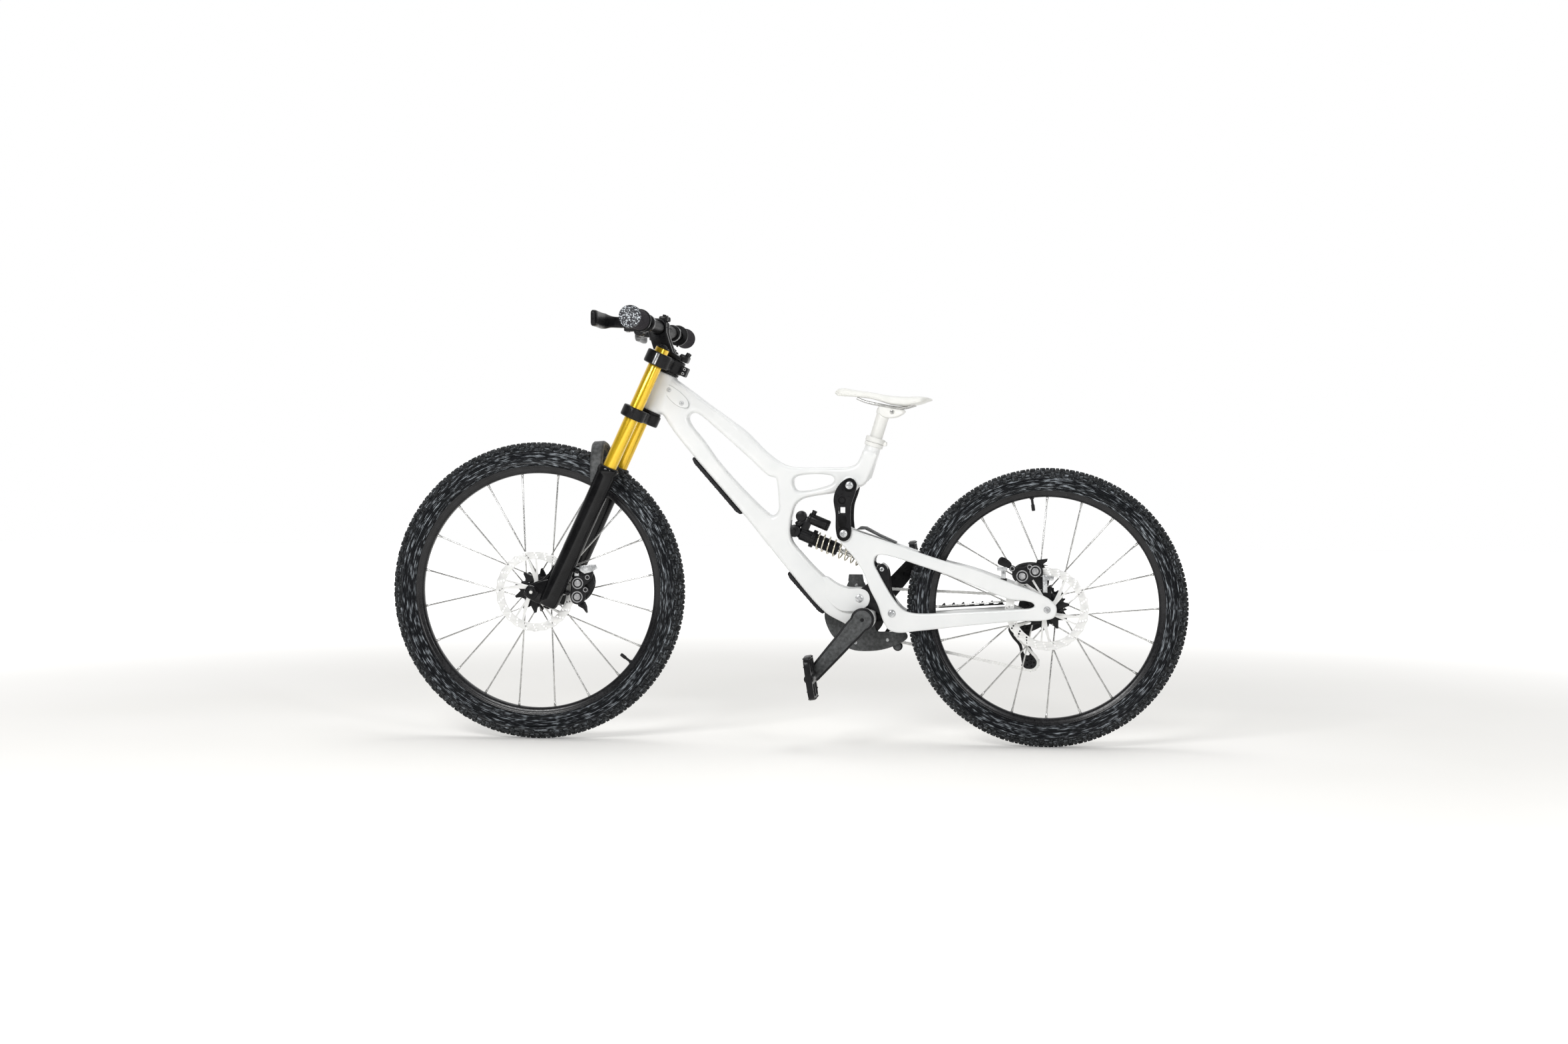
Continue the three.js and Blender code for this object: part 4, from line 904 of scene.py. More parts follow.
HEAD_CHEEK = [(304, 903), (322, 917), (340, 900), (334, 860), (324, 822), (312, 822), (298, 836)]
HEAD_NECK = [
    (304, 903), (322, 917), (343, 908), (384, 880), (392, 858), (376, 826), (368, 786), (350, 782),
    (332, 804), (318, 820), (300, 834),
]
LOWER_CHEEK = [
    (706, 392), (714, 412), (730, 416), (752, 402), (776, 391), (796, 388), (815, 389), (834, 381),
    (841, 364), (835, 346), (818, 337), (796, 332), (768, 334), (744, 350), (720, 374),
]
CHEEK_ROOT = [
    (712, 392), (718, 407), (732, 410), (754, 396), (776, 385), (788, 378), (792, 352), (786, 338),
    (768, 338), (746, 356), (724, 378),
]
SMALL_WINDOW = [(652, 662), (744, 666), (751, 656), (741, 645), (657, 630), (649, 645)]
SEAT_TUBE = (849, 750)
SEAT_ANGLE = math.radians(73)


def fork_point(back, up):
    spot = SIDE.inverted() @ FORK @ Vector((back, 0, up))
    return spot.x, 0, spot.z


def seat_tube(up):
    return SEAT_TUBE[0] + up * math.cos(SEAT_ANGLE), 0, SEAT_TUBE[1] + up * math.sin(SEAT_ANGLE)


def main_frame():
    shape = Shape()
    windows = [smooth_loop(MAIN_WINDOW, 90), smooth_loop(SMALL_WINDOW, 40)]
    shape.plate(smooth_loop(FRAME_OUTLINE, 260), -23, 23, holes=windows, bevel=10, steps=4)
    for outline, half in ((HEAD_CHEEK, 28), (HEAD_NECK, 25.2)):
        shape.plate(smooth_loop(outline, 80), -half, half, bevel=9, steps=3)
    shape.rod(fork_point(0, 531.5), fork_point(0, 634), 29, edge=2, sides=64)
    shape.rod(seat_tube(-90), seat_tube(12), 20, edge=1.5, sides=64)
    shape.across(BOTTOM_BRACKET, -36.5, 36.5, 24, edge=2, sides=64)
    shape.across(BOTTOM_BRACKET, -26.5, 26.5, 29, edge=4, sides=64)
    shape.across(UPPER_PIVOT, -48.2, 48.2, 17, edge=1.5, sides=48)
    shape.across(LOWER_PIVOT, -23.5, 23.5, 16, edge=1, sides=48)
    tools = Shape()
    tools.block((622, -13, 480), (720, 13, 556), bevel=3)
    tools.rod(fork_point(0, 520), fork_point(0, 645), 15.6, sides=40)
    tools.rod(seat_tube(-97), seat_tube(25), 16.3, sides=40)
    tools.across(BOTTOM_BRACKET, -60, 60, 20, sides=48)
    tools.across(UPPER_PIVOT, -60, 60, 8.3)
    tools.across(LOWER_PIVOT, -60, 60, 8.3)
    skin = moulded(shape, 2.4, 20, [tools])
    finish_piece("frame_shell", skin, "white", "frame", ["main_frame"], 50)


def cable_port():
    """The plate behind the head tube, a grey rim round it that is painted shade in its joint, and its two
    screws.
    """
    cover = Shape()
    outline = smooth_loop([(326, 893), (350, 884), (384, 852), (384, 836), (362, 838), (330, 868)], 60)
    cover.plate(outline, -27.4, -23.6, bevel=0.8)
    cover.piece("cable_port_plate", "white", "frame", "cable_port_cover")
    # A grey plate a little wider than the cover, set just under it: the rim that shows round the cover is
    # painted shade in the joint.
    edge = Shape()
    centre = Vector((sum(x for x, z in outline), sum(z for x, z in outline))) / len(outline)
    wider = [centre + (Vector(spot) - centre) * 1.05 for spot in outline]
    edge.plate([(spot.x, spot.y) for spot in wider], -26.4, -24, bevel=0.4, steps=1)
    edge.piece("cable_port_seal", "joint_shade_grey", "frame")
    screws = Shape()
    for spot in ((337, 879), (369, 846)):
        screws.screw((spot[0], -27.2, spot[1]), (0, -1, 0), 4.2, 1.6)
        screws.ring((spot[0], -27.2, spot[1]), (0, -1, 0), 4.9, 6.0, 0.6, 0.2, 32)
    screws.piece("cable_port_screws", "silver", "frame")


def down_tube_guards():
    """Two ribbed rubber strips under the down tube."""
    guards = Shape()
    for start, end in (((521, 571.5), (397, 713)), ((728, 325.5), (637, 428))):
        way = Vector((end[0] - start[0], end[1] - start[1])).normalized()
        out = Vector((-way.y, way.x))
        length = (Vector(end) - Vector(start)).length
        outline = []
        far_end = [(length - 1, 1.2), (length - 3, 6), (length - 14, 9.6)]
        for along, off in [(1, 1.2), *far_end, (14, 9.6), (3, 6)]:
            spot = Vector(start) + way * along + out * off
            outline.append((spot.x, spot.y))
        guards.plate(outline, -17, 17, bevel=1.6)
        ribs = 9
        for k in range(ribs):
            along = 20 + (length - 40) * k / (ribs - 1)
            spot = Vector(start) + way * along + out * 9.2
            guards.rod((spot.x, -15, spot.y), (spot.x, 15, spot.y), 1.5, sides=12)
    guards.piece("down_tube_guards", "plastic", "frame", "down_tube_guard_upper", "down_tube_guard_lower")


def bearing_cups():
    """The headset's two rings and the bottom bracket's notched ones."""
    cups = Shape()
    for low, high in ((525.8, 531.2), (634.3, 640.2)):
        base = Vector(fork_point(0, low))
        way = (Vector(fork_point(0, high)) - base).normalized()
        cups.ring(base, way, 16, 28, high - low, 1.0, 64)
    cups.piece("headset_cups", "black", "frame", "headset_cup_lower", "headset_cup_upper")

    bracket = Shape()
    for side in (-1, 1):
        base = (BOTTOM_BRACKET[0], side * 36.9, BOTTOM_BRACKET[1])
        bracket.ring(base, (0, side, 0), 13, 22.4, 5.1, 0.8, 64)
        for k in range(16):
            x, z = polar(BOTTOM_BRACKET, 21.6, 22.5 * k)
            bracket.rod((x, side * 37.3, z), (x, side * 41.4, z), 1.5, sides=8)
    bracket.piece("bottom_bracket_cups", "black", "frame", "bottom_bracket")


def frame_pivots():
    """Screws and washers of the links' pivots, and the cheeks that hold the lower one."""
    bolts = Shape()
    for spot, reach, radius in ((UPPER_PIVOT, 55.9, 11.6), (LOWER_PIVOT, 33.6, 12.2)):
        for side in (-1, 1):
            bolts.screw((spot[0], side * reach, spot[1]), (0, side, 0), radius * 0.84, 3.4)
    bolts.piece("pivot_screws", "silver", "frame", "upper_pivot_bolt", "lower_pivot_bolt")
    washers = Shape()
    for side in (-1, 1):
        washers.ring((UPPER_PIVOT[0], side * 55.8, UPPER_PIVOT[1]), (0, side, 0), 9.9, 12, 1.6, 0.4, 48)
    washers.piece("pivot_washers", "black", "frame")
    cheeks = Shape()
    for low, high in ((-34.2, -31.5), (31.5, 34.2)):
        cheeks.plate(smooth_loop(LOWER_CHEEK, 80), low, high, bevel=1.3, steps=3)
    for low, high in ((-33, -18), (18, 33)):
        cheeks.plate(smooth_loop(CHEEK_ROOT, 50), low, high, bevel=4, steps=3)
    for x in range(712, 800, 8):
        cheeks.cut(x)
    for vert in cheeks.mesh.verts:
        vert.co.y -= math.copysign(14 * (1 - eased(vert.co.x, 706, 790)), vert.co.y)
    cheeks.piece("lower_pivot_cheeks", "white", "frame")


def seat_collar():
    collar = Shape()
    base = Vector(seat_tube(-12))
    way = (Vector(seat_tube(12)) - base).normalized()
    collar.ring(base, way, 20.3, 23.4, 10, 1.2, 64)
    collar.ring(base + way * 10.5, way, 16.4, 24.4, 13, 1.6, 64)
    spot = base + way * 14
    out = Vector((way.z, 0, -way.x))
    collar.rod(spot + out * 26 + Vector((0, -9, 0)), spot + out * 26 + Vector((0, 9, 0)), 5.2, sides=24)
    collar.block((spot.x + 19, -7, spot.z - 9), (spot.x + 30, 7, spot.z - 1), bevel=2)
    collar.piece("seat_collar", "white_part", "frame", "seat_clamp")


main_frame()
cable_port()
down_tube_guards()
bearing_cups()
frame_pivots()
seat_collar()


# ---- fork ----
PLAN = Matrix.Rotation(-math.pi / 2, 4, "X")


def plan_plate(shape, outline, low, high, **more):
    """A plate whose outline is drawn from above, between two heights."""
    shape.plate(outline, -high, -low, turn=PLAN, **more)


def leg(side, up, out=0.0):
    return LEGS_BACK, side * (HALF_LEGS + out), up


def band(shape, points, wide, width, thickness, round_off=0.28):
    """A flat strip with rounded edges that keeps its wide way along one direction."""
    spots = smooth_line(points, 40)
    wide = Vector(wide).normalized()
    corner = [(-1, -1), (1, -1), (1, 1), (-1, 1)]
    rings = []
    for i, spot in enumerate(spots):
        head = (spots[min(i + 1, len(spots) - 1)] - spots[max(i - 1, 0)]).normalized()
        thin = head.cross(wide).normalized()
        ring = []
        for a, b in corner:
            bevel = [(1, 1 - round_off * 2), (1 - round_off, 1)]
            for along, up in bevel if a * b > 0 else bevel[::-1]:
                ring.append(spot + wide * (a * along * width / 2) + thin * (b * up * thickness / 2))
        rings.append(ring)
    shape.loft(rings)


def fork_lowers():
    shape = Shape(FORK)
    for side in (-1, 1):
        profile = [
            (0.6, -17), (15, -17), (21, -14.5), (24, -8), (25, 4), (25.2, 120), (24.6, 210), (24.6, 300),
            (25, 340), (25.4, 346), (27, 350), (27, 358), (25.8, 361), (22, 362), (18.3, 361.5), (18.1, 350),
            (18.1, 62), (0.6, 60),
        ]
        shape.turn(profile, leg(side, 0), (0, 0, 1), sides=72)
        low, high = span(side, 60, 79)
        outline = [(-88, -14), (-70, -19), (-30, -16), (-10, -10), (-10, 44), (-34, 56), (-84, 17), (-91, 4)]
        shape.plate(smooth_loop(outline, 70), low, high, bevel=5, steps=3)
        shape.across(FORK_AXLE, *span(side, 57, 81.5), 17.5, edge=2.5, sides=56)
        rib = [(-66, side * 74, 26), (-56, side * 75, 42), (-50, side * 74, 60), (-47, side * 73, 84)]
        shape.sweep(smooth_line(rib, 16), 4, sides=14)
    for up in (28, 88):
        shape.block((-4, -64, up), (12.5, -50, up + 12), bevel=2.5)
    shape.piece("fork_legs", "fork", "fork_lowers", "fork_lowers")


def fork_arch():
    """A flat bridge over the tyre, with a narrower rib under it."""
    arch = Shape(FORK)
    path = [
        (-38, -69.5, 318), (-52, -68, 345), (-66, -58, 374), (-78, -36, 396), (-84, 0, 402),
        (-78, 36, 396), (-66, 58, 374), (-52, 68, 345), (-38, 69.5, 318),
    ]
    band(arch, path, (0.88, 0, 0.47), 31, 14)
    inner = [(x + 3, y * 0.93, z - 4) for x, y, z in path[1:-1]]
    band(arch, inner, (0.88, 0, 0.47), 18, 17)
    arch.piece("fork_arch", "grey", "fork_lowers")


def fork_fittings():
    """Foot bolts, wiper seals and the front axle."""
    details = Shape(FORK)
    for side in (-1, 1):
        details.screw((-79, side * 79, -6), (0, side, 0), 4.2)
        details.screw((-62, side * 79, -11), (0, side, 0), 4.2)
        details.rod(leg(side, -22), leg(side, -15), 9, sides=6)
    details.piece("fork_foot_bolts", "black", "fork_lowers")
    for side in (-1, 1):
        seal = Shape(FORK)
        base = leg(side, 360.5)
        seal.ring(base, (0, 0, 1), 17.7, 24.5, 4.2, 1.4, 64)
        seal.piece("fork_seal_" + ("left" if side < 0 else "right"), "plastic", "fork_lowers")

    axle = Shape(FORK)
    axle.across(FORK_AXLE, -85.6, 85.6, 8.9, edge=1.4, sides=48)
    for side in (-1, 1):
        axle.ring((FORK_AXLE[0], side * 81.5, 0), (0, side, 0), 8.8, 13.4, 3.4, 1.0, 48)
    axle.piece("front_axle_rod", "black", "fork_lowers", "front_axle")
    dot = Shape(FORK)
    for side in (-1, 1):
        dot.rod((FORK_AXLE[0], side * 85.2, 0), (FORK_AXLE[0], side * 87, 0), 4.6, 3.8, edge=0.5, sides=6)
    dot.piece("front_axle_hex", "white_part", "fork_lowers")


def caliper(name, place, body, node, rotor_y, outer, inner, back, bridge, face, pistons, small, fin, port):
    """Two halves round the disc, bridged outside it, with piston caps, bolts and a cooling fin."""
    shape = Shape(place)
    shape.plate(smooth_loop(back, 70), rotor_y + 2.4, inner, bevel=2, steps=2)
    shape.plate(bridge, rotor_y - 6, rotor_y + 4, bevel=1)
    shape.piece(name + "_inner_half", "black", body, node)
    front = Shape()
    front.plate(smooth_loop(face, 90), outer, rotor_y - 2.4, bevel=3, steps=3)
    front.plate(smooth_loop(port, 50), outer + 1, rotor_y - 3, bevel=2.5, steps=2)
    for x, z in pistons:
        front.rod((x, rotor_y - 3, z), (x, outer - 1.2, z), 16.2, 15.4, edge=2.2, sides=56)
    for x, z in small:
        front.rod((x, rotor_y - 4, z), (x, outer - 1.4, z), 8, 7.6, edge=1.4, sides=32)
    front.piece(name + "_outer_half", "black", body)
    rings = Shape()
    for x, z in pistons:
        rings.ring((x, outer - 0.9, z), (0, -1, 0), 11.6, 14.2, 1.4, 0.5, 56)
        rings.rod((x, outer - 0.6, z), (x, outer - 1.9, z), 8.4, 8.0, edge=0.5, sides=40)
    for x, z in small:
        rings.ring((x, outer - 1.1, z), (0, -1, 0), 4.2, 6.0, 1.1, 0.3, 32)
    rings.piece(name + "_rings", "caliper_grey", body)
    wings = Shape()
    for y in (rotor_y - 8, rotor_y, rotor_y + 8):
        wings.plate(fin, y - 1.4, y + 1.4, bevel=0.5, steps=1)
    wings.piece(name + "_fins", "black", body)


def brakes():
    arc = [polar(FORK_AXLE, 107, a) for a in (36, 29, 22, 15, 11)]
    caliper(
        "front_caliper", place=FORK, body="fork_lowers", node="front_caliper",
        rotor_y=FRONT_ROTOR_Y, outer=-55.6, inner=-28.6,
        back=[(13, 22), (36, 18), (56, 40), (58, 82), (38, 106), (13, 104)],
        bridge=[*arc, (36, 20), (56, 40), (58, 82), (38, 106), (13, 104)],
        face=[
            (96, 404), (104, 413), (122, 414), (140, 420), (146, 408), (138, 396), (130, 388), (140, 380),
            (134, 370), (128, 352), (116, 343), (100, 346), (93, 360), (94, 380),
        ],
        pistons=[(112, 396), (111, 362)],
        small=[(137, 411), (132, 380)],
        fin=[(108, 348), (126, 349), (131, 338), (133, 320), (124, 332), (112, 338)],
        port=[(112, 410), (120, 424), (138, 430), (150, 424), (144, 408), (128, 402)],
    )
    bracket = Shape()
    arm = [(117, 428), (118, 440), (158, 444), (163, 434), (146, 424), (130, 420)]
    bracket.plate(arm, -60, -54, bevel=1.6)
    bracket.plate([(104, 414), (104, 436), (116, 436), (116, 414)], -60, -54, bevel=1.6)
    bracket.screw((125, -60, 434), (0, -1, 0), 4.4)
    bracket.screw((152, -60, 437), (0, -1, 0), 4.4)
    bracket.piece("front_caliper_bracket", "silver", "fork_lowers")
    arc = [polar(REAR_AXLE, 107, a) for a in (137, 128, 119, 110, 101)]
    caliper(
        "rear_caliper", place=SIDE, body="swingarm", node="rear_caliper",
        rotor_y=REAR_ROTOR_Y, outer=-71.6, inner=-39.4,
        back=[(1194, 414), (1262, 391), (1278, 404), (1274, 440), (1250, 456), (1206, 452), (1190, 436)],
        bridge=[*arc, (1278, 449), (1250, 456), (1206, 452), (1192, 438)],
        face=[
            (1190.7, 441), (1214, 446), (1231, 453), (1248, 457), (1262.7, 443), (1262.7, 426),
            (1243.7, 417.6), (1229, 407), (1214, 405), (1199, 414), (1190.7, 428),
        ],
        pistons=[(1214, 424), (1245.4, 436)],
        small=[(1190, 442), (1232, 446)],
        fin=[
            (1248, 458), (1250, 463), (1275.4, 466.4), (1274, 460), (1262.7, 451.5), (1260, 441), (1252, 446),
        ],
        port=[
            (1154.7, 460), (1163, 470), (1180, 463), (1188.6, 452), (1182, 443), (1167.4, 447.3),
            (1155.5, 453),
        ],
    )
    bracket = Shape()
    bracket.plate([(1153, 436), (1153, 446), (1178, 446), (1178, 436)], -71, -63, bevel=1.8)
    bracket.plate([(1164, 412), (1163, 440), (1175, 440), (1174, 412)], -70, -62, bevel=1.8)
    bracket.plate([(1264, 384), (1263, 427), (1274, 427), (1275, 384)], -70, -62, bevel=1.8)
    bracket.rod((1270, -66, 420), (1290, -66, 418), 6, edge=1, sides=6)
    bracket.screw((1168, -70, 433), (0, -1, 0), 4.4)
    bracket.piece("rear_caliper_bracket", "silver", "swingarm")
    feet = Shape()
    feet.plate([(1161, 408), (1161, 418), (1177, 418), (1177, 408)], -71, -61, bevel=1.8)
    feet.piece("rear_caliper_foot", "black", "swingarm")


# Each crown's name, bottom and top, and the radius round its tubes and round the steerer.
CROWNS = (("lower_crown", 497, 526, 31, 31), ("upper_crown", 641, 675, 32.6, 32))
CROWN_PLAN = [
    (-44, -52), (-46, 0), (-44, 52), (-18, 66), (2, 58), (12, 26), (15, 0), (12, -26), (2, -58), (-18, -66),
]


def crowns():
    for name, bottom, top, clamp, hub in CROWNS:
        shape = Shape(FORK)
        for side in (-1, 1):
            shape.rod(leg(side, bottom), leg(side, top), clamp, edge=3, sides=72)
        shape.rod((0, 0, bottom), (0, 0, top), hub, edge=3, sides=64)
        plan_plate(shape, smooth_loop(CROWN_PLAN, 60), bottom + 1, top - 1, bevel=4, steps=2)
        tools = Shape(FORK)
        for side in (-1, 1):
            tools.rod(leg(side, bottom - 5), leg(side, top + 5), 17.8, sides=56)
        tools.rod((0, 0, bottom - 5), (0, 0, top + 5), 14.6, sides=48)
        for front, back in ((-60, -38), (20, 40)):
            for side in (-1, 1):
                low, high = span(side, 36, 50)
                tools.block((front, low, bottom + 6), (back, high, top - 6), bevel=2)
        skin = moulded(shape, 1.6, 5, [tools])
        finish_piece(name + "_forging", skin, "black", "steering", [name], 50)
        slot = Shape(FORK)
        line = Shape(FORK)
        for side in (-1, 1):
            low, high = span(side, HALF_LEGS + clamp - 4, HALF_LEGS + clamp + 0.4)
            slot.block((LEGS_BACK - 4.6, low, bottom + 2.5), (LEGS_BACK + 4.6, high, top - 2.5), bevel=1)
            low, high = span(side, HALF_LEGS + clamp - 1, HALF_LEGS + clamp + 0.7)
            line.block((LEGS_BACK - 0.8, low, bottom + 1), (LEGS_BACK + 0.8, high, top - 1), bevel=0.3)
        slot.piece(name + "_split", "silver" if name == "upper_crown" else "black", "steering")
        line.piece(name + "_split_line", "plastic", "steering")


def steerer():
    """The tube through both crowns, and the split clamp with two bolts behind it."""
    ears = Shape(FORK)
    ears.block((26, -15, 643), (46, -1.2, 667), bevel=3)
    ears.block((26, 1.2, 643), (46, 15, 667), bevel=3)
    ears.block((12, -17, 676), (36, 17, 694), bevel=4)
    for up in (650, 661):
        ears.rod((38, -18, up), (38, 18, up), 4.6, edge=1.2, sides=24)
    for y in (-10, 10):
        ears.rod((28, y, 692), (30, y, 702), 5, edge=1, sides=24)
    ears.piece("steerer_clamp", "black", "steering")
    studs = Shape(FORK)
    for up in (650, 661):
        studs.ring((38, -17.6, up), (0, -1, 0), 2.0, 3.6, 1.2, 0.3, 20)
    studs.piece("steerer_clamp_screws", "silver", "steering")

    tube = Shape(FORK)
    tube.rod((0, 0, 498), (0, 0, 674), 14.3, sides=48)
    tube.piece("steerer_tube", "steel", "steering", "steerer")


def stanchions():
    """The gold upper tubes and their caps."""
    for side, word in ((-1, "left"), (1, "right")):
        gold_tube = Shape(FORK)
        gold_tube.rod(leg(side, 180), leg(side, 687), 17.5, edge=1.4, sides=96)
        gold_tube.piece("stanchion_tube_" + word, "gold", "steering", "stanchion_" + word)
        cap = Shape(FORK)
        cap.rod(leg(side, 686.4), leg(side, 691), 17.0, 15.5, edge=1.6, sides=64)
        cap.rod(leg(side, 690), leg(side, 695), 9, edge=1.4, sides=24)
        cap.rod(leg(side, 694), leg(side, 697), 4.6, edge=0.8, sides=6)
        cap.piece("stanchion_cap_" + word, "black", "steering")


def stem():
    bar_spot = FORK.inverted() @ SIDE @ Vector((BAR[0], 0, BAR[1]))
    x, z = bar_spot.x, bar_spot.z
    shape = Shape(FORK)
    cheek = [
        (-54, 675.3), (20, 675.3), (20, 683.8), (-6, 688.5), (x + 40, z - 20), (x + 24, z - 2),
        (x + 14, z + 20), (x, z + 25), (x - 18, z + 18), (x - 25, z + 2), (x - 20, z - 18),
    ]
    for low, high in ((-26, -8), (8, 26)):
        shape.plate(cheek, low, high, holes=[circle((x, z), 16.4, 64)], bevel=2.4, steps=3)
    shape.plate([(-52, 675.4), (18, 675.4), (18, 684), (-50, 688)], -25, 25, bevel=2, steps=2)
    shape.piece("stem_body", "black", "steering", "stem")
    lug = Shape()
    for y in (-17, 17):
        lug.block((BAR[0] + 2, y - 8, BAR[1] + 17), (BAR[0] + 24, y + 8, BAR[1] + 29), bevel=3)
        lug.rod((BAR[0] + 14, y, BAR[1] + 27), (BAR[0] + 15, y, BAR[1] + 33), 4.4, edge=1, sides=24)
    lug.piece("stem_lugs", "black", "steering")
    gap = Shape(FORK)
    for y in (-26.3, 25.5):
        gap.block((x - 26, y, z - 1.0), (x - 15.5, y + 0.8, z + 0.6), bevel=0.2)
        gap.block((x + 15.5, y, z + 9.0), (x + 24, y + 0.8, z + 10.6), bevel=0.2)
    gap.piece("stem_split", "plastic", "steering")
    bolts = Shape(FORK)
    for y in (-17, 17):
        for up in (-14, 15):
            bolts.screw((x - 25.4, y, z + up), (-1, 0, 0), 3.8)
        bolts.screw((8, y, 686), (0, 0, 1), 4.4)
        bolts.screw((-38, y, 687), (0, 0, 1), 4.4)
    bolts.piece("stem_bolts", "silver", "steering")


def handlebar():
    """A straight tube, thick at the stem and thin at the grips."""
    bar = Shape()
    half = [(16, 0), (16, 130), (15.6, 150), (14.2, 190), (13.2, 220), (13, 240), (13, 396), (12, 397)]
    profile = [(r, -y) for r, y in reversed(half[1:])] + half
    bar.turn(profile, (BAR[0], 0, BAR[1]), sides=72)
    bar.piece("bar_tube", "bar", "steering", "handlebar")


GRIP_CAP = ((0.4, 396.6), (23, 396.6), (26.4, 397.4), (26.2, 399.6), (23, 401.4), (9, 401.8), (0.4, 401.4))
LEVER_BLADE = [
    (269, 168), (268, 178), (258, 184), (232, 200), (220, 225), (216.5, 280), (217, 330), (212, 337),
    (204, 335), (203.5, 280), (204, 222), (212, 192), (232, 172), (250, 160), (262, 161),
]
LEVER_PIVOT = (262, 172)


def cockpit(side, word):
    """One end of the handlebar: its grip, its brake master and its lever."""
    x, z = BAR
    base = (x, 0, z)
    grip = Shape()
    profile = [(13.4, 277), (24.0, 276.6)]
    ribs = 14
    for k in range(ribs):
        start = 279 + 118 * k / ribs
        swell = 24.2 + 2.4 * (k / (ribs - 1)) ** 2
        profile += [(swell - 0.6, start), (swell, start + 1.6)]
        profile += [(swell, start + 5.8), (swell - 0.6, start + 7.0)]
    profile += [(26.2, 397), (13.4, 397.4)]
    grip.turn([(r, side * y) for r, y in profile], base, sides=72, closed=True)
    grip.piece("grip_rubber_" + word, "grip", "steering", "grip_" + word)
    collar = Shape()
    collar.ring((x, side * 268, z), (0, side, 0), 13.3, 27, 8, 1.4, 56)
    collar.rod((x, side * 272, z - 24), (x - 2, side * 272, z - 30), 2.4, sides=12)
    collar.piece("grip_collar_" + word, "black", "steering")
    cap = Shape()
    cap.turn([(r, side * y) for r, y in GRIP_CAP], base, sides=64)
    cap.piece("grip_cap_" + word, "grip_end", "steering")

    master = Shape()
    low, high = span(side, 176, 196)
    master.ring((x, low, z), (0, 1, 0), 13.3, 21.6, high - low, 2.2, 64)
    low, high = span(side, 150, 196)
    master.block((272, low, 1019), (299, high, 1040), bevel=5)
    master.rod((284, side * 104, 1024), (280, side * 158, 1027), 16.5, 14, edge=5, sides=48)
    master.rod((285, side * 96, 1023), (284, side * 106, 1024), 8, edge=2, sides=24)
    master.rod((292, side * 150, 1014), (292, side * 200, 1014), 12, edge=4, sides=40)
    low, high = span(side, 160, 184)
    master.block((253, low, 1014.4), (283, high, 1025.8), bevel=3)
    master.block((253, low, 1050.2), (283, high, 1054.8), bevel=1.8)
    master.block((274, low, 1014.4), (284, high, 1054.8), bevel=2.4)
    master.piece("master_body_" + word, "black", "steering", "brake_master_" + word)
    bits = Shape()
    pivot_x, pivot_y = LEVER_PIVOT[0], side * LEVER_PIVOT[1]
    bits.screw((pivot_x, pivot_y, 1054.6), (0, 0, 1), 5)
    bits.screw((pivot_x, pivot_y, 1014.6), (0, 0, -1), 5)
    bits.rod((pivot_x, pivot_y, 1016), (pivot_x, pivot_y, 1053), 3.3, sides=24)
    for y in (156, 190):
        bits.screw((288, side * y, 1039.6), (0, 0, 1), 2.4)
    bits.screw((x + 20, side * 186, z + 8), (0.9, 0, 0.4), 3.4)
    bits.piece("master_bolts_" + word, "silver", "steering")
    lever = Shape()
    hole = circle((pivot_x, pivot_y), 3.9, 28)
    spots = [(a, side * b) for a, b in LEVER_BLADE]
    plan_plate(lever, smooth_loop(spots, 150), 1027.6, 1048.4, holes=[hole], bevel=4.5, steps=4)
    for vert in lever.mesh.verts:
        deeper = 1.25 + 0.55 * eased(abs(vert.co.y), 190, 230)
        vert.co.z = 1036 + (vert.co.z - 1038) * deeper
    lever.piece("lever_blade_" + word, "black", "brake_lever_" + word, "brake_lever_" + word)


fork_lowers()
fork_arch()
fork_fittings()
brakes()
crowns()
steerer()
stanchions()
stem()
handlebar()
cockpit(-1, "left")
cockpit(1, "right")


# ---- seat ----
SADDLE_FRONT = 749
SADDLE_BACK = 992.4
SADDLE_TOP = [
    (750, 873), (756, 880), (770, 883.5), (801, 878.5), (841, 873), (891, 864), (928, 861.5), (960, 862),
    (982, 859), (991, 853.5),
]
SADDLE_UNDER = [
    (750, 870), (756, 865), (770, 863.5), (801, 862), (841, 857), (891, 842), (928, 838.5), (960, 843),
    (982, 850), (991, 852),
]


def seatpost():
    """The post with its head, and the saddle's two rails clamped in it."""
    post = Shape()
    low = Vector(seat_tube(-92))
    high = Vector(seat_tube(84))
    post.rod(low, high, 15.9, edge=1, sides=72)
    post.rod(high - (high - low).normalized() * 14, high, 18.5, edge=3, sides=56)
    outline = [(859, 828), (862, 843), (880, 838), (917, 831), (925, 826), (915, 816), (890, 809), (866, 815)]
    post.plate(smooth_loop(outline, 50), -21, 21, bevel=4, steps=3)
    post.piece("seatpost_tube", "white_part", "seatpost", "seatpost")
    clamp = Shape()
    for side in (-1, 1):
        clamp.rod((866, side * 14, 834), (916, side * 14, 826), 5, edge=1.4, sides=20)
        clamp.screw((893, side * 21, 824), (0, side, 0), 5.4)
        rail = [(806, 12, 858), (826, 18, 850), (856, 22, 843), (916, 22, 834), (950, 26, 842)]
        clamp.sweep(smooth_line([(x, side * y, z) for x, y, z in rail], 24), 3.4, sides=16)
    clamp.piece("saddle_rails", "steel", "seatpost")


def saddle_half_width(x):
    """Narrow at the nose, wide at the back, and rounded off at both ends."""
    half = 19 + 49 * eased(x, 800, 965)
    nose = min(1, math.sqrt(max(0.0, (x - SADDLE_FRONT) / 16)))
    tail = min(1, math.sqrt(max(0.0, (SADDLE_BACK - x) / 26)))
    return half * (nose * tail)


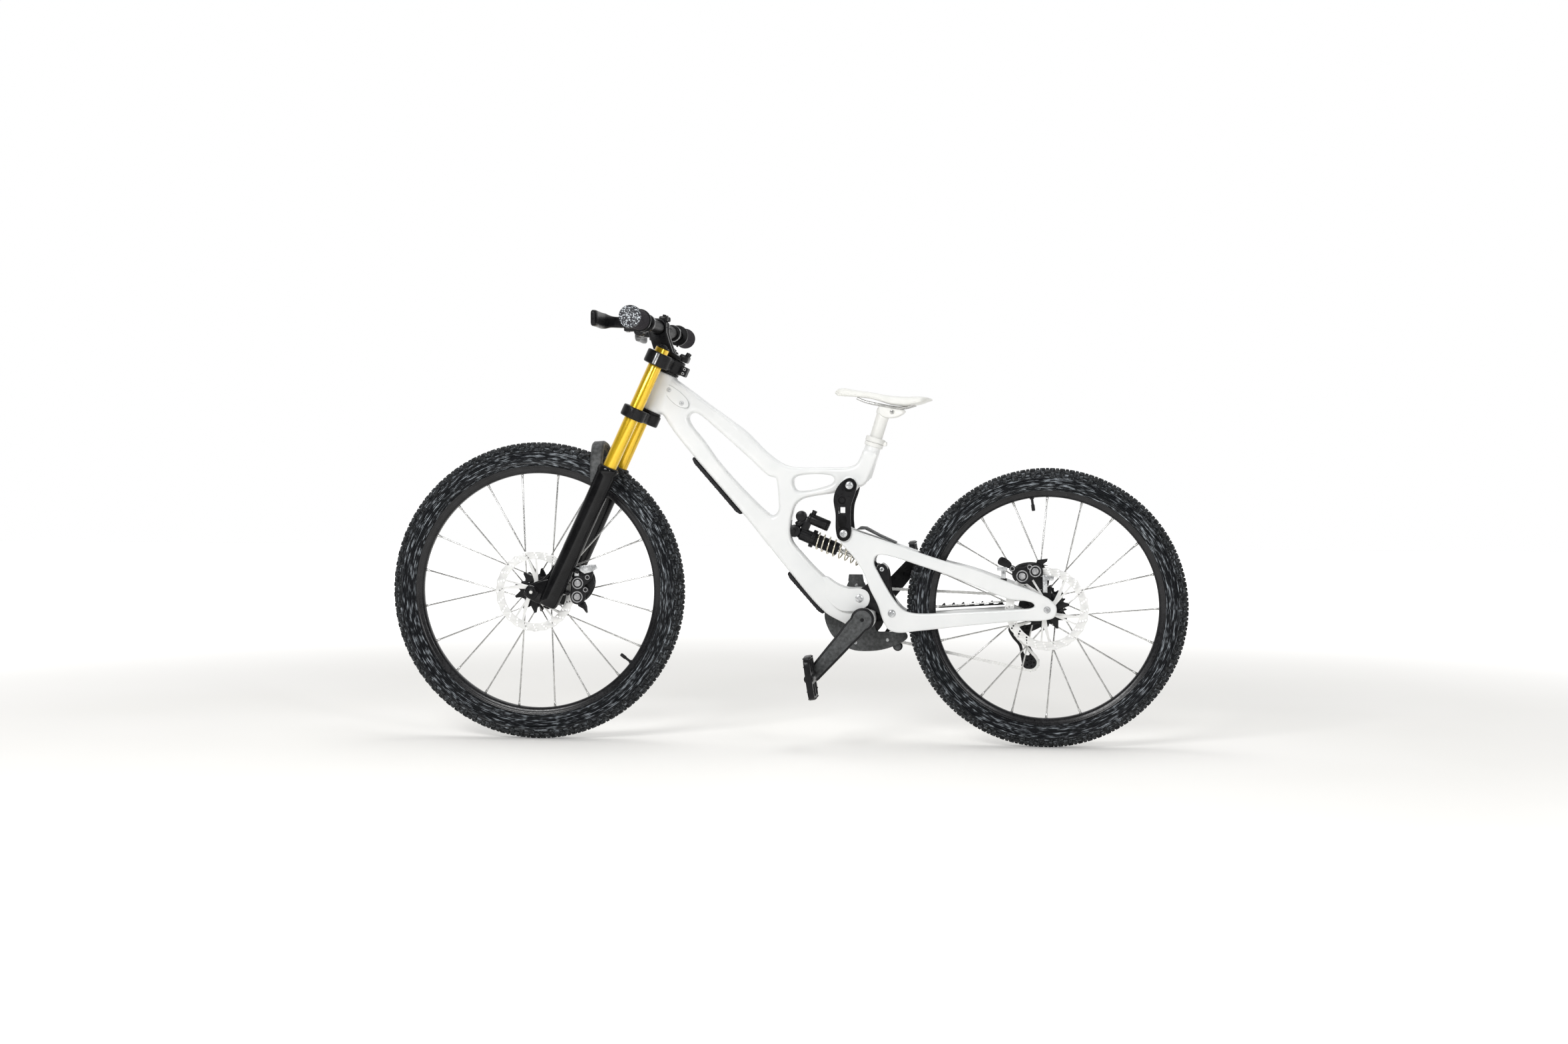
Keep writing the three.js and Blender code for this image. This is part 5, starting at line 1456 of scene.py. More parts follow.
def height_at(line, x):
    """The height of a side-view line at x."""
    for a, b in zip(line, line[1:]):
        if a[0] <= x <= b[0]:
            return mix(a[1], b[1], a[0], b[0], x) if b[0] > a[0] else a[1]
    return line[-1][1]


def saddle():
    """A crowned pad with a shallow groove, and a seam round its lower edge."""
    steps = 55
    xs = [750.4 + 240.2 * (0.5 - 0.5 * math.cos(math.pi * k / steps)) for k in range(steps + 1)]
    top = smooth_line([(x, z, 0) for x, z in SADDLE_TOP], 60)
    rings = []
    for x in xs:
        half = saddle_half_width(x)
        z_top = height_at(top, x)
        z_low = height_at(SADDLE_UNDER, x)
        ring = []
        groove = 2.6 * math.exp(-((x - 890) / 70) ** 2)
        for k in range(40):
            a = 2 * math.pi * k / 40
            c, s = math.cos(a), math.sin(a)
            y = half * math.copysign(abs(c) ** 0.75, c)
            if s >= 0:
                z = mix(z_low + 4, z_top, 0, 1, abs(s) ** 0.42) - groove * math.exp(-(y / 7) ** 2)
            else:
                z = z_low + 4 - 4 * abs(s) ** 0.6
            ring.append((x, y, max(z, z_low)))
        rings.append(ring)
    cushion = Shape()
    cushion.loft(rings)
    cushion_obj = cushion.piece("saddle_cushion", "saddle", "seatpost", "saddle", angle=60)
    seam = Shape()
    for side in (-1, 1):
        line = [
            (x, side * (saddle_half_width(x) + 0.1), height_at(SADDLE_UNDER, x) + 4.4) for x in xs[3:-3]
        ]
        seam.sweep(line, 0.9, sides=8)
    seam.piece("saddle_seam", "saddle", "seatpost")


seatpost()
saddle()


# ---- rear suspension ----
UPPER_LINK = [
    (791, 661), (773, 652), (758, 632), (752, 608), (757, 572), (758, 532), (764, 512), (778, 505),
    (791, 512), (796, 528), (794, 560), (796, 595), (806, 626), (809, 645), (802, 657),
]
LOWER_LINK = [
    (800, 362), (806, 378), (838, 404), (856, 438), (870, 450), (884, 438), (893, 380), (911, 332),
    (906, 316), (890, 314), (850, 334), (812, 349),
]
SWINGARM = [
    (777, 542), (799, 534), (853, 516), (907, 498), (962, 479), (1029, 458), (1094, 441), (1159, 418),
    (1249, 385), (1280, 369), (1297, 350), (1292, 326), (1270, 318), (1204, 314), (1068, 299), (963, 286),
    (908, 281), (886, 290), (872, 315), (861, 348), (842, 386), (823, 432), (798, 469), (770, 500),
    (759, 522),
]
SWINGARM_WINDOW = [
    (870, 472), (908, 464), (962, 447), (1021, 428), (1113, 393), (1185, 367), (1222, 364), (1240, 359),
    (1245, 353), (1236, 347), (1204, 344), (1068, 335), (950, 330), (924, 338), (899, 366), (880, 397),
    (864, 426), (852, 452), (856, 468),
]
# The arms spread outwards behind this place, by this much for each millimetre.
SPLAY_FROM = 925
SPLAY = 0.118


def upper_link():
    shape = Shape()
    for low, high, front in ((-55.4, -48.8, 765), (48.8, 55.4, 760)):
        square = [(front, 573), (781, 573), (781, 589), (front, 589)]
        holes = [square, circle(UPPER_PIVOT, 8.4, 40)]
        shape.plate(smooth_loop(UPPER_LINK, 110), low, high, holes=holes, bevel=1.4, steps=3)
    shape.across((772, 604), -50, 50, 8, sides=40)
    for low, high in ((-49, -34), (34, 49)):
        shape.across(UPPER_EYE, low, high, 6)
    shape.piece("upper_rocker", "black", "upper_link", "upper_link")
    screws = Shape()
    for side in (-1, 1):
        screws.screw((UPPER_EYE[0], side * 55.2, UPPER_EYE[1]), (0, side, 0), 9.6, 3)
    screws.piece("upper_rocker_screws", "silver", "upper_link")
    relief = Shape()
    pad = [(764, 566), (782, 566), (784, 548), (779, 540), (768, 540), (765, 548)]
    for side in (-1, 1):
        relief.ring((773, side * 55.2, 606), (0, side, 0), 6.5, 9.6, 1.6, 0.5, 40)
        low, high = span(side, 55.2, 56.8)
        relief.plate(smooth_loop(pad, 40), low, high, bevel=0.7)
        for spot in (UPPER_PIVOT, UPPER_EYE):
            relief.ring((spot[0], side * 55.2, spot[1]), (0, side, 0), 12.6, 16.4, 1.5, 0.5, 48)
    relief.piece("upper_rocker_relief", "bar", "upper_link")


def lower_link():
    shape = Shape()
    bore = circle(LOWER_PIVOT, 8.4, 40)
    for low, high in ((-31.2, -24), (24, 31.2)):
        shape.plate(smooth_loop(LOWER_LINK, 100), low, high, holes=[bore], bevel=1.4, steps=3)
    shape.across(LOWER_EYE, -48.8, 48.8, 8.8, edge=1.4, sides=48)
    shape.across(SHOCK_LINK_EYE, -25, 25, 5)
    shape.piece("lower_rocker", "black", "lower_link", "lower_link")
    screws = Shape()
    for side in (-1, 1):
        screws.screw((LOWER_EYE[0], side * 48.7, LOWER_EYE[1]), (0, side, 0), 9.0, 3)
        screws.screw((SHOCK_LINK_EYE[0], side * 30.7, SHOCK_LINK_EYE[1]), (0, side, 0), 5.6, 1.1)
    screws.piece("lower_rocker_screws", "silver", "lower_link")


def splay(shape, side):
    """Spreads everything behind the links outwards, as the arms do."""
    shape.cut(SPLAY_FROM)
    for vert in shape.mesh.verts:
        if vert.co.x > SPLAY_FROM:
            vert.co.y += side * SPLAY * (vert.co.x - SPLAY_FROM)


def swingarm():
    shape = Shape()
    for side in (-1, 1):
        arm = Shape()
        low, high = span(side, 32, 48)
        window = smooth_loop(SWINGARM_WINDOW, 170)
        arm.plate(smooth_loop(SWINGARM, 260), low, high, holes=[window], bevel=4.5, steps=3)
        splay(arm, side)
        flat = bpy.data.meshes.new("arm")
        arm.mesh.to_mesh(flat)
        shape.mesh.from_mesh(flat)
        bpy.data.meshes.remove(flat)
        low, high = span(side, 71, 89)
        shape.across(REAR_AXLE, low, high, 18, edge=3, sides=56)
        low, high = span(side, 36, 47.6)
        shape.across(LOWER_EYE, low, high, 17, edge=2, sides=48)
    shape.across((915, 480), -40, 40, 12, sides=40)
    shape.across((919, 299), -40, 40, 9, sides=40)
    tools = Shape()
    tools.across(UPPER_EYE, -60, 60, 9.6, sides=40)
    tools.across(LOWER_EYE, -60, 60, 9.2, sides=40)
    tools.across(REAR_AXLE, -100, 100, 7.8, sides=40)
    skin = moulded(shape, 2.2, 5, [tools])
    finish_piece("swingarm_shell", skin, "white", "swingarm", ["swingarm"], 50)


def rear_axle():
    axle = Shape()
    axle.across(REAR_AXLE, -91.6, 91.6, 7.4, edge=1.2, sides=40)
    axle.piece("rear_axle_rod", "caliper_grey", "swingarm", "rear_axle")
    ends = Shape()
    for side in (-1, 1):
        ends.ring((REAR_AXLE[0], side * 91.2, REAR_AXLE[1]), (0, side, 0), 3.4, 7.2, 1.6, 0.5, 40)
    ends.piece("rear_axle_ends", "silver", "swingarm")


def swingarm_guards():
    """The toothed pad on the drive-side chainstay, and the bent plate that keeps mud off the shock."""
    guard = Shape()
    start, end, teeth = 1006, 1172, 7
    width = (end - start) / teeth

    def bed(x):
        return 336.5 + (x - start) * 0.052

    outline = [(start, bed(start) + 0.5), (end, bed(end) + 0.5)]
    for tooth in reversed(range(teeth)):
        x = start + width * tooth
        outline += [(x + width * 0.80, bed(x) + 4.4), (x + width * 0.70, bed(x) + 13)]
        outline += [(x + width * 0.58, bed(x) + 13), (x + width * 0.26, bed(x) + 4.4)]
    guard.plate(outline, 33.4, 46.6, bevel=0.7, steps=2)
    for vert in guard.mesh.verts:
        vert.co.y += SPLAY * (vert.co.x - SPLAY_FROM)
    guard.piece("chainstay_pad", "plastic", "swingarm", "chainstay_guard")

    mud = Shape()
    outline = [(806, 533), (816, 541), (829, 540), (862, 522), (904, 503)]
    outline += [(904, 499.5), (862, 517), (828, 534)]
    mud.plate(outline, -31, 31, bevel=0.8, steps=2)
    mud.piece("mud_guard_plate", "guard_grey", "swingarm", "mud_plate")


RESERVOIR_UP = 44
COIL_START = 60.6
COIL_END = 201.4
COIL_TURNS = 9.5
COIL_STEPS = 28


def shock_body():
    """The damper's body with its reservoir, thread, preload collar, bands and knob."""
    body = Shape(SHOCK)
    body.turn(
        [(7, 22), (7, 121), (14, 121), (15.8, 119), (15.8, 60), (15.8, 20), (12, 17), (10, 8), (7, 8)],
        (0, 0, 0), (1, 0, 0), sides=64, closed=True,
    )
    body.across((0, 0), -11.5, 11.5, 12, edge=1.6, sides=48)
    body.across((0, 0), -21, 21, 6, sides=32)
    body.block((14, -10, 8), (34, 10, 46), bevel=6)
    body.rod((21, 0, RESERVOIR_UP), (77.6, 0, RESERVOIR_UP), 13.6, edge=2.6, sides=56)
    body.rod((30, 0, 50), (30, 0, 65), 5.8, edge=1.2, sides=20)
    body.across((4, 40), -13, 13, 13.5, edge=4, sides=48)
    body.rod((2, 0, 14), (14, 0, 34), 9, edge=3, sides=32)
    body.across((3, 0), -14, 14, 15.5, edge=4, sides=56)
    threads = Shape(SHOCK)
    for k in range(24):
        threads.ring((62 + 2.3 * k, 0, 0), (1, 0, 0), 15.2, 16.5, 1.3, 0.4, 40)
    body.piece("damper_body", "black", "shock_body", "shock_body")
    threads.piece("damper_thread", "black", "shock_body")
    collar = Shape(SHOCK)
    notches = []
    for k in range(12):
        notches += [polar((0, 0), 22.6, 30 * k + a) for a in (0, 8, 16)]
        notches += [polar((0, 0), 20.6, 30 * k + a) for a in (18, 28)]
    stand = Matrix.Translation((48, 0, 0)) @ Matrix.Rotation(math.pi / 2, 4, "Z")
    collar.plate(notches, -10, 0, holes=[circle((0, 0), 15.4, 48)], bevel=0.9, turn=stand)
    collar.piece("preload_collar", "black", "shock_body")
    bands = Shape(SHOCK)
    for x in (26, 70):
        bands.ring((x, 0, RESERVOIR_UP), (1, 0, 0), 12, 13.9, 3, 0.5, 56)
    bands.ring((14, 0, 0), (1, 0, 0), 9, 12.4, 3, 0.5, 48)
    bands.piece("damper_bands", "bar", "shock_body")
    knob = Shape(SHOCK)
    knob.rod((30, 0, 62), (30, 0, 66), 6.2, edge=0.8, sides=18)
    knob.piece("rebound_knob", "plastic", "shock_body")


def shock_shaft():
    """The damper's shaft with its spring seat and lower eye, and the bump stop on it."""
    shaft = Shape(SHOCK)
    shaft.rod((74, 0, 0), (SHOCK_LENGTH - 8, 0, 0), 6, sides=48)
    seat = [(6, 203), (6, 211), (20.6, 211), (22.4, 209.4), (22.4, 205.6), (21, 204)]
    shaft.turn(seat, (0, 0, 0), (1, 0, 0), sides=64, closed=True)
    shaft.ring((SHOCK_LENGTH, -15, 0), (0, 1, 0), 8, 13, 30, 1.6, 48)
    shaft.rod((SHOCK_LENGTH - 16, 0, 0), (SHOCK_LENGTH - 9, 0, 0), 10, edge=1, sides=40)
    shaft.piece("damper_shaft", "steel", "shock_shaft", "shock_shaft")
    bumper = Shape(SHOCK)
    bumper.rod((SHOCK_LENGTH - 30, 0, 0), (SHOCK_LENGTH - 16, 0, 0), 11, 9, edge=3, sides=40)
    bumper.piece("bump_stop", "plastic", "shock_shaft")


def shock_spring():
    """A coil between the collar and the seat."""
    count = round(COIL_TURNS * COIL_STEPS)
    points = []
    for k in range(count + 1):
        part = k / count
        tight = 0.5 - 0.5 * math.cos(math.pi * part)
        x = mix(COIL_START, COIL_END, 0, 1, part * 0.86 + tight * 0.14)
        angle = 2 * math.pi * COIL_TURNS * part
        reach = 20.6 - 2.6 * min(1, max(0, (part - 0.4) / 0.2))
        points.append((x, reach * math.cos(angle), reach * math.sin(angle)))
    coil = Shape(SHOCK)
    coil.sweep(points, 1.9, sides=14)
    coil_obj = coil.piece("coil_spring", "spring", None, "shock_spring")
    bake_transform(coil_obj)


upper_link()
lower_link()
swingarm()
rear_axle()
swingarm_guards()
shock_body()
shock_shaft()
shock_spring()


# ---- drivetrain ----
def crank(side, face, word):
    """One arm, with a grey face let into it and the pedal's axle at its end."""
    centre = Matrix.Translation((BOTTOM_BRACKET[0], 0, BOTTOM_BRACKET[1]))
    angle = CRANK_ANGLE if side < 0 else CRANK_ANGLE - math.pi
    place = SIDE @ centre @ Matrix.Rotation(-angle, 4, "Y")

    def outline_at(inset):
        head = [polar((0, 0), 29 - inset, a) for a in range(60, 301, 12)]
        lower = [(40, -25), (62, -23), (100, -21.5), (145, -19.5), (168, -18.5), (184, -17), (195, -9)]
        near = [(x - inset * (x > 190), z + inset) for x, z in lower]
        return head + near + [(x, -z) for x, z in reversed(near)]

    def sheared(shape):
        shape.cut(0)
        for vert in shape.mesh.verts:
            vert.co.y += side * 0.1 * max(0, vert.co.x)

    low, high = span(side, face, face + 18)
    arm = Shape(place)
    arm.plate(smooth_loop(outline_at(0), 140), low + 0.2, high - 0.2, bevel=4.2, steps=3)
    sheared(arm)
    arm.piece("crank_arm_" + word, "black", "crankset", "crank_" + word, angle=28)
    out = side * (face + 18)
    low, high = sorted((out - side * 1.6, out + side * 0.5))
    panel = Shape(place)
    bolt_hole = circle((0, 0), 4.6, 28)
    panel.plate(smooth_loop(outline_at(5.4), 140), low, high, holes=[bolt_hole], bevel=0.7, steps=1)
    sheared(panel)
    panel.piece("crank_face_" + word, "grey", "crankset", angle=28)
    bits = Shape(place)
    tip = out + side * 18
    bits.ring((CRANK_LENGTH, tip - side * 1.2, 0), (0, side, 0), 7, 10.4, 2.0, 0.6, 40)
    bits.rod((CRANK_LENGTH, out, 0), (CRANK_LENGTH, side * 192, 0), 6.4, sides=32)
    bits.piece("crank_fixings_" + word, "black", "crankset")


# One tooth, as (part of its pitch, height over the pitch circle).
TOOTH = ((0, -4.1), (0.17, -3.0), (0.30, 0.4), (0.42, 3.6), (0.58, 3.6), (0.70, 0.4), (0.83, -3.0))


def toothed(centre, pitch_radius, teeth, start=0.0):
    """A sprocket's outline: each gap takes a roller."""
    outline = []
    step = 360 / teeth
    for tooth in range(teeth):
        for part, reach in TOOTH:
            outline.append(polar(centre, pitch_radius + reach, start + step * (tooth + part)))
    return outline


def chainring():
    """The spindle, the toothed ring with its five windows, and the spider that carries it."""
    spindle = Shape()
    spindle.across(BOTTOM_BRACKET, -70, 62, 12, sides=48)
    spindle.piece("crank_spindle", "steel", "crankset")
    ring = Shape()
    windows = []
    for k in range(5):
        outer = [polar(BOTTOM_BRACKET, 60, 72 * k + d) for d in range(14, 60, 6)]
        inner = [polar(BOTTOM_BRACKET, 46, 72 * k + d) for d in range(54, 18, -6)]
        windows.append(outer + inner)
    outline = toothed(BOTTOM_BRACKET, CHAINRING_RADIUS, CHAINRING_TEETH, UPPER_TANGENT)
    windows.append(circle(BOTTOM_BRACKET, 13, 48))
    low, high = CHAIN_LINE - HALF_SPROCKET, CHAIN_LINE + HALF_SPROCKET
    ring.plate(outline, low, high, holes=windows, bevel=0.4, steps=1)
    ring.piece("chainring_teeth", "sprocket", "crankset", "chainring")
    spider = Shape()
    star = []
    for k in range(5):
        for a, r in ((-22, 24), (-9, 40), (-6, 49), (6, 49), (9, 40), (22, 24)):
            star.append(polar(BOTTOM_BRACKET, r, 72 * k + a))
    spider.plate(star, 57, 61, bevel=1)
    for k in range(5):
        x, z = polar(BOTTOM_BRACKET, 45, 72 * k)
        spider.rod((x, 53, z), (x, 62.4, z), 4.2, sides=20)
    spider.piece("chainring_spider", "grey", "crankset")


def cassette():
    """Five sprockets with rings between them."""
    stack = Shape()
    for k, teeth in enumerate(CASSETTE_TEETH):
        radius = CHAIN_PITCH / (2 * math.sin(math.pi / teeth))
        y = 38.2 + 4 * k
        bore = circle(REAR_AXLE, 18.2, 40)
        stack.plate(toothed(REAR_AXLE, radius, teeth, 7 * k), y, y + 1.6, holes=[bore], bevel=0.3, steps=1)
        if k < len(CASSETTE_TEETH) - 1:
            stack.ring((REAR_AXLE[0], y + 1.6, REAR_AXLE[1]), (0, 1, 0), 18.2, 20.5, 2.4, 0.3, 40)
    stack.ring((REAR_AXLE[0], 56, REAR_AXLE[1]), (0, 1, 0), 15, 18.4, 5.8, 0.6, 40)
    stack.piece("cassette_sprockets", "sprocket", "cassette", "cassette")


# Half of a pedal's outline, and where its pins stand, as (along the bike, out from the middle).
PEDAL_HALF = [(-40, 97), (-50, 106), (-53, 122), (-53, 172), (-50, 188), (-40, 197)]
PEDAL_PINS = [(x, y) for x in (-49, 49) for y in (114, 131, 163, 181)]
PEDAL_PINS += [(-30, 191), (30, 191), (-30, 103), (30, 103)]
PEDAL_TILT = math.radians(81.4)


def pedal(side, word):
    """A flat pedal: a rounded frame with four windows round its axle, and pins on both faces."""
    x = BOTTOM_BRACKET[0] - side * CRANK_LENGTH * math.cos(CRANK_ANGLE)
    z = BOTTOM_BRACKET[1] - side * CRANK_LENGTH * math.sin(CRANK_ANGLE)
    place = SIDE @ Matrix.Translation((x, 0, z)) @ Matrix.Rotation(PEDAL_TILT, 4, "Y")
    body = Shape(place)
    outline = [(a, side * b) for a, b in PEDAL_HALF]
    outline += [(-a, b) for a, b in reversed(outline)]
    windows = []
    for a, b in ((-44, -15), (15, 44)):
        for c, d in ((side * 108, side * 143), (side * 151, side * 186)):
            windows.append([(a, c), (b, c), (b, d), (a, d)])
    plan_plate(body, smooth_loop(outline, 80), -7.6, 7.6, holes=windows, bevel=2.2, steps=2)
    low, high = span(side, 97.4, 196.6)
    body.rod((0, low, 0), (0, high, 0), 11.6, edge=2, sides=40)
    body.piece("pedal_body_" + word, "black", "pedal_" + word, "pedal_" + word)
    pins = Shape(place)
    for face in (-1, 1):
        for a, b in PEDAL_PINS:
            foot = (a, side * b, face * 7)
            tip = (a, side * b, face * 9.4)
            pins.rod(foot, tip, 1.9, 1.5, edge=0.4, sides=10)
    pins.piece("pedal_pins_" + word, "black", "pedal_" + word)


# Where the chain's straight runs leave the wheels, in degrees round them.
UPPER_TANGENT = 87.74
LOWER_TANGENT = 77
# The body and the node that each stretch of the chain belongs to.
CHAIN_STRETCHES = {
    "upper": ("chain_upper_run", "chain_upper_run"),
    "rear": ("swingarm", "chain_rear"),
    "lower": ("chain_lower_run", "chain_lower_run"),
    "front": ("frame", "chain_front"),
}


def chain_path():
    """The chain's whole loop as (stretch, points) pairs, from the top of the chainring back."""

    def arc(centre, radius, start, end, count):
        return [polar(centre, radius, start + (end - start) * k / count) for k in range(count + 1)]

    top_front = polar(BOTTOM_BRACKET, CHAINRING_RADIUS, UPPER_TANGENT)
    top_rear = polar(REAR_AXLE, REAR_SPROCKET_RADIUS, UPPER_TANGENT)
    under_rear = polar(LOWER_PULLEY, 20, 180 + 90 - 13)
    under_front = polar(IDLER, 18.2, LOWER_TANGENT)
    rear = arc(REAR_AXLE, REAR_SPROCKET_RADIUS, UPPER_TANGENT, -85, 18)
    rear += [(1262, 317), (1236, 307), (1212, 297.5)]
    rear += arc(UPPER_PULLEY, 18, 120, 215, 10) + arc(LOWER_PULLEY, 20, 35, -103, 16)
    front = [(890, 255.5), (862, 246.5)] + arc(BOTTOM_BRACKET, CHAINRING_RADIUS, 285, UPPER_TANGENT, 40)
    upper = [top_front, top_rear]
    lower = [under_rear, under_front]
    return [("upper", upper), ("rear", rear), ("lower", lower), ("front", front)]


def chain():
    """Rollers, pins and waisted side plates, one pitch apart along the whole loop."""
    spots = []
    owners = []
    for name, points in chain_path():
        spots += [Vector(p) for p in points[:-1]]
        owners += [name] * (len(points) - 1)
    lengths = [(spots[(i + 1) % len(spots)] - spots[i]).length for i in range(len(spots))]
    total = sum(lengths)
    count = 2 * round(total / CHAIN_PITCH / 2)
    pitch = total / count
    pins = []
    index, used = 0, 0.0
    for k in range(count):
        want = k * pitch
        while used + lengths[index] < want:
            used += lengths[index]
            index += 1
        part = (want - used) / lengths[index]
        pins.append((spots[index].lerp(spots[(index + 1) % len(spots)], part), owners[index]))
    shapes = {name: Shape() for name in CHAIN_STRETCHES}
    for k, (spot, owner) in enumerate(pins):
        after = pins[(k + 1) % count][0]
        shape = shapes[owner]
        shape.across(spot, CHAIN_LINE - 2.3, CHAIN_LINE + 2.3, 3.8, edge=0.3, sides=12)
        shape.across(spot, CHAIN_LINE - 4.4, CHAIN_LINE + 4.4, 1.7, edge=0.3, sides=8)
        way = (after - spot).normalized()
        side = Vector((-way.y, way.x))
        length = (after - spot).length
        middle_spot = spot.lerp(after, 0.5)
        outline = []
        for step in range(20):
            along = 2 * math.pi * step / 20
            c, s = math.cos(along), math.sin(along)
            waist = 1 - 0.26 * math.exp(-((c * (length / 2 + 4)) / 3.2) ** 2)
            up = math.copysign(abs(s) ** 0.55, s) * 4.1 * waist
            outline.append(middle_spot + way * (c * (length / 2 + 4.1)) + side * up)
        low, high = (2.3, 3.2) if k % 2 else (3.3, 4.2)
        for a, b in ((-high, -low), (low, high)):
            shape.loft([[(p.x, CHAIN_LINE + y, p.y) for p in outline] for y in (a, b)])
    for name, shape in shapes.items():
        body, node = CHAIN_STRETCHES[name]
        shape.piece("chain_links_" + name, "chain", body, node, angle=40)


GUIDE_OUTLINE = [
    (722, 322), (738, 270), (784, 233), (828, 227), (884, 236), (930, 262), (926, 275), (880, 277),
    (852, 280), (848, 330), (838, 345), (820, 402), (800, 412), (784, 404), (776, 384), (782, 360),
    (770, 340), (742, 338),
]
HANGER = [
    (1256, 352), (1262, 362), (1286, 362), (1293, 344), (1286, 322), (1272, 300), (1252, 286),
    (1222, 275), (1196, 272), (1184, 284), (1196, 295), (1230, 297), (1250, 306), (1257, 320),
]
CAGE = [
    (1180, 286), (1192, 298), (1214, 297), (1232, 282), (1236, 240), (1254, 212), (1252, 192),
    (1236, 184), (1218, 192), (1212, 214), (1206, 244), (1190, 264),
]


def chain_guide():
    """A plate under the chainring with a slotted upper guide and a roller."""
    guide = Shape()
    bore = circle(BOTTOM_BRACKET, 14.2, 48)
    guide.plate(smooth_loop(GUIDE_OUTLINE, 150), 42.7, 47.3, holes=[bore], bevel=1.2)
    for low, high in ((46.5, 50), (60.6, 63.8)):
        guide.plate([(780, 378), (818, 378), (820, 396), (816, 419), (782, 419)], low, high, bevel=1)
    guide.plate([(780, 403), (818, 403), (816, 419), (782, 419)], 48, 62, bevel=1)
    guide.across(IDLER, 45, 61, 8.8, edge=1.4)
    guide.piece("guide_plate", "guard_grey", "frame", "chain_guide")
    idler = Shape()
    idler.across(IDLER, 52, 58, 12.4, edge=1.6, sides=40)
    idler.piece("guide_roller", "plastic", "frame")
    bolts = Shape()
    for spot in ((758, 318), (800, 248), (880, 256), (802, 392)):
        bolts.screw((spot[0], 42.9, spot[1]), (0, -1, 0), 4.2)
    bolts.piece("guide_bolts", "silver", "frame")


def derailleur():
    """Hanger, knuckles and cage with its two pulleys."""
    changer = Shape()
    changer.plate(smooth_loop(HANGER, 100), 66, 69.3, holes=[circle(REAR_AXLE, 9, 40)], bevel=0.8)
    block = [(1206, 340), (1214, 364), (1262, 366), (1264, 344), (1250, 334)]
    changer.plate(smooth_loop(block, 50), 60, 65.6, bevel=1.4)
    changer.across((1194, 284), 60.6, 74, 12, edge=2, sides=40)
    changer.across((1286, 330), 64, 73, 8, edge=1.2, sides=32)
    slot = [(1206, 268), (1222, 262), (1228, 232), (1236, 222), (1222, 222), (1214, 246)]
    changer.plate(smooth_loop(CAGE, 90), 60.7, 62.9, holes=[smooth_loop(slot, 30)], bevel=0.6)
    for spot in (UPPER_PULLEY, LOWER_PULLEY):
        changer.across(spot, 52.6, 62.9, 3, sides=20)
        changer.across(spot, 61, 64.4, 5.6, sides=20)
    changer.piece("derailleur_body", "black", "swingarm", "derailleur")
    pulleys = ((UPPER_PULLEY, 9, 16, "upper_pulley"), (LOWER_PULLEY, 10, 20, "lower_pulley"))
    for spot, teeth, radius, name in pulleys:
        wheel = Shape()
        holes = [circle(spot, 3.6, 24)] + [circle(polar(spot, 9, 72 * k), 2.2, 12) for k in range(5)]
        low, high = CHAIN_LINE - HALF_SPROCKET, CHAIN_LINE + HALF_SPROCKET
        wheel.plate(toothed(spot, radius, teeth), low, high, holes=holes, bevel=0.4, steps=1)
        wheel.piece(name + "_wheel", "plastic", name, name)


crank(-1, 54, "left")
crank(1, 58, "right")
chainring()
cassette()
pedal(-1, "left")
pedal(1, "right")
chain()
chain_guide()
derailleur()


# ---- stage, light and camera ----
HALF_FLOOR = 14


def studio():
    """A flat paper floor that fades to white far from the bike, so no edge shows from any side."""
    sheet = bmesh.new()
    corners = ((-1, -1), (1, -1), (1, 1), (-1, 1))
    sheet.faces.new([sheet.verts.new((x * HALF_FLOOR, y * HALF_FLOOR, 0)) for x, y in corners])
    paper = bpy.data.meshes.new("studio_floor")
    sheet.to_mesh(paper)
    sheet.free()
    floor = bpy.data.objects.new("studio_floor", paper)
    bpy.context.collection.objects.link(floor)
    look = Nodes("studio_paper", (0.90, 0.89, 0.86), 0.9, Specular_IOR_Level=0.2)
    look.tint(look.field(1.4, 2), (0.885, 0.875, 0.845), (0.915, 0.905, 0.88))
    reach = look.add("ShaderNodeVectorMath", operation="LENGTH")
    look.link(look.coords, reach.inputs[0])
    rise = look.add("ShaderNodeMapRange", interpolation_type="SMOOTHSTEP")
    rise.inputs["From Min"].default_value = 1.4
    rise.inputs["From Max"].default_value = 6.0
    rise.inputs["To Min"].default_value = 0.16
    rise.inputs["To Max"].default_value = 1.0
    look.link(reach.outputs["Value"], rise.inputs["Value"])
    look.shader.inputs["Emission Color"].default_value = (1, 1, 1, 1)
    look.link(rise.outputs["Result"], look.shader.inputs["Emission Strength"])
    paper.materials.append(look.material)


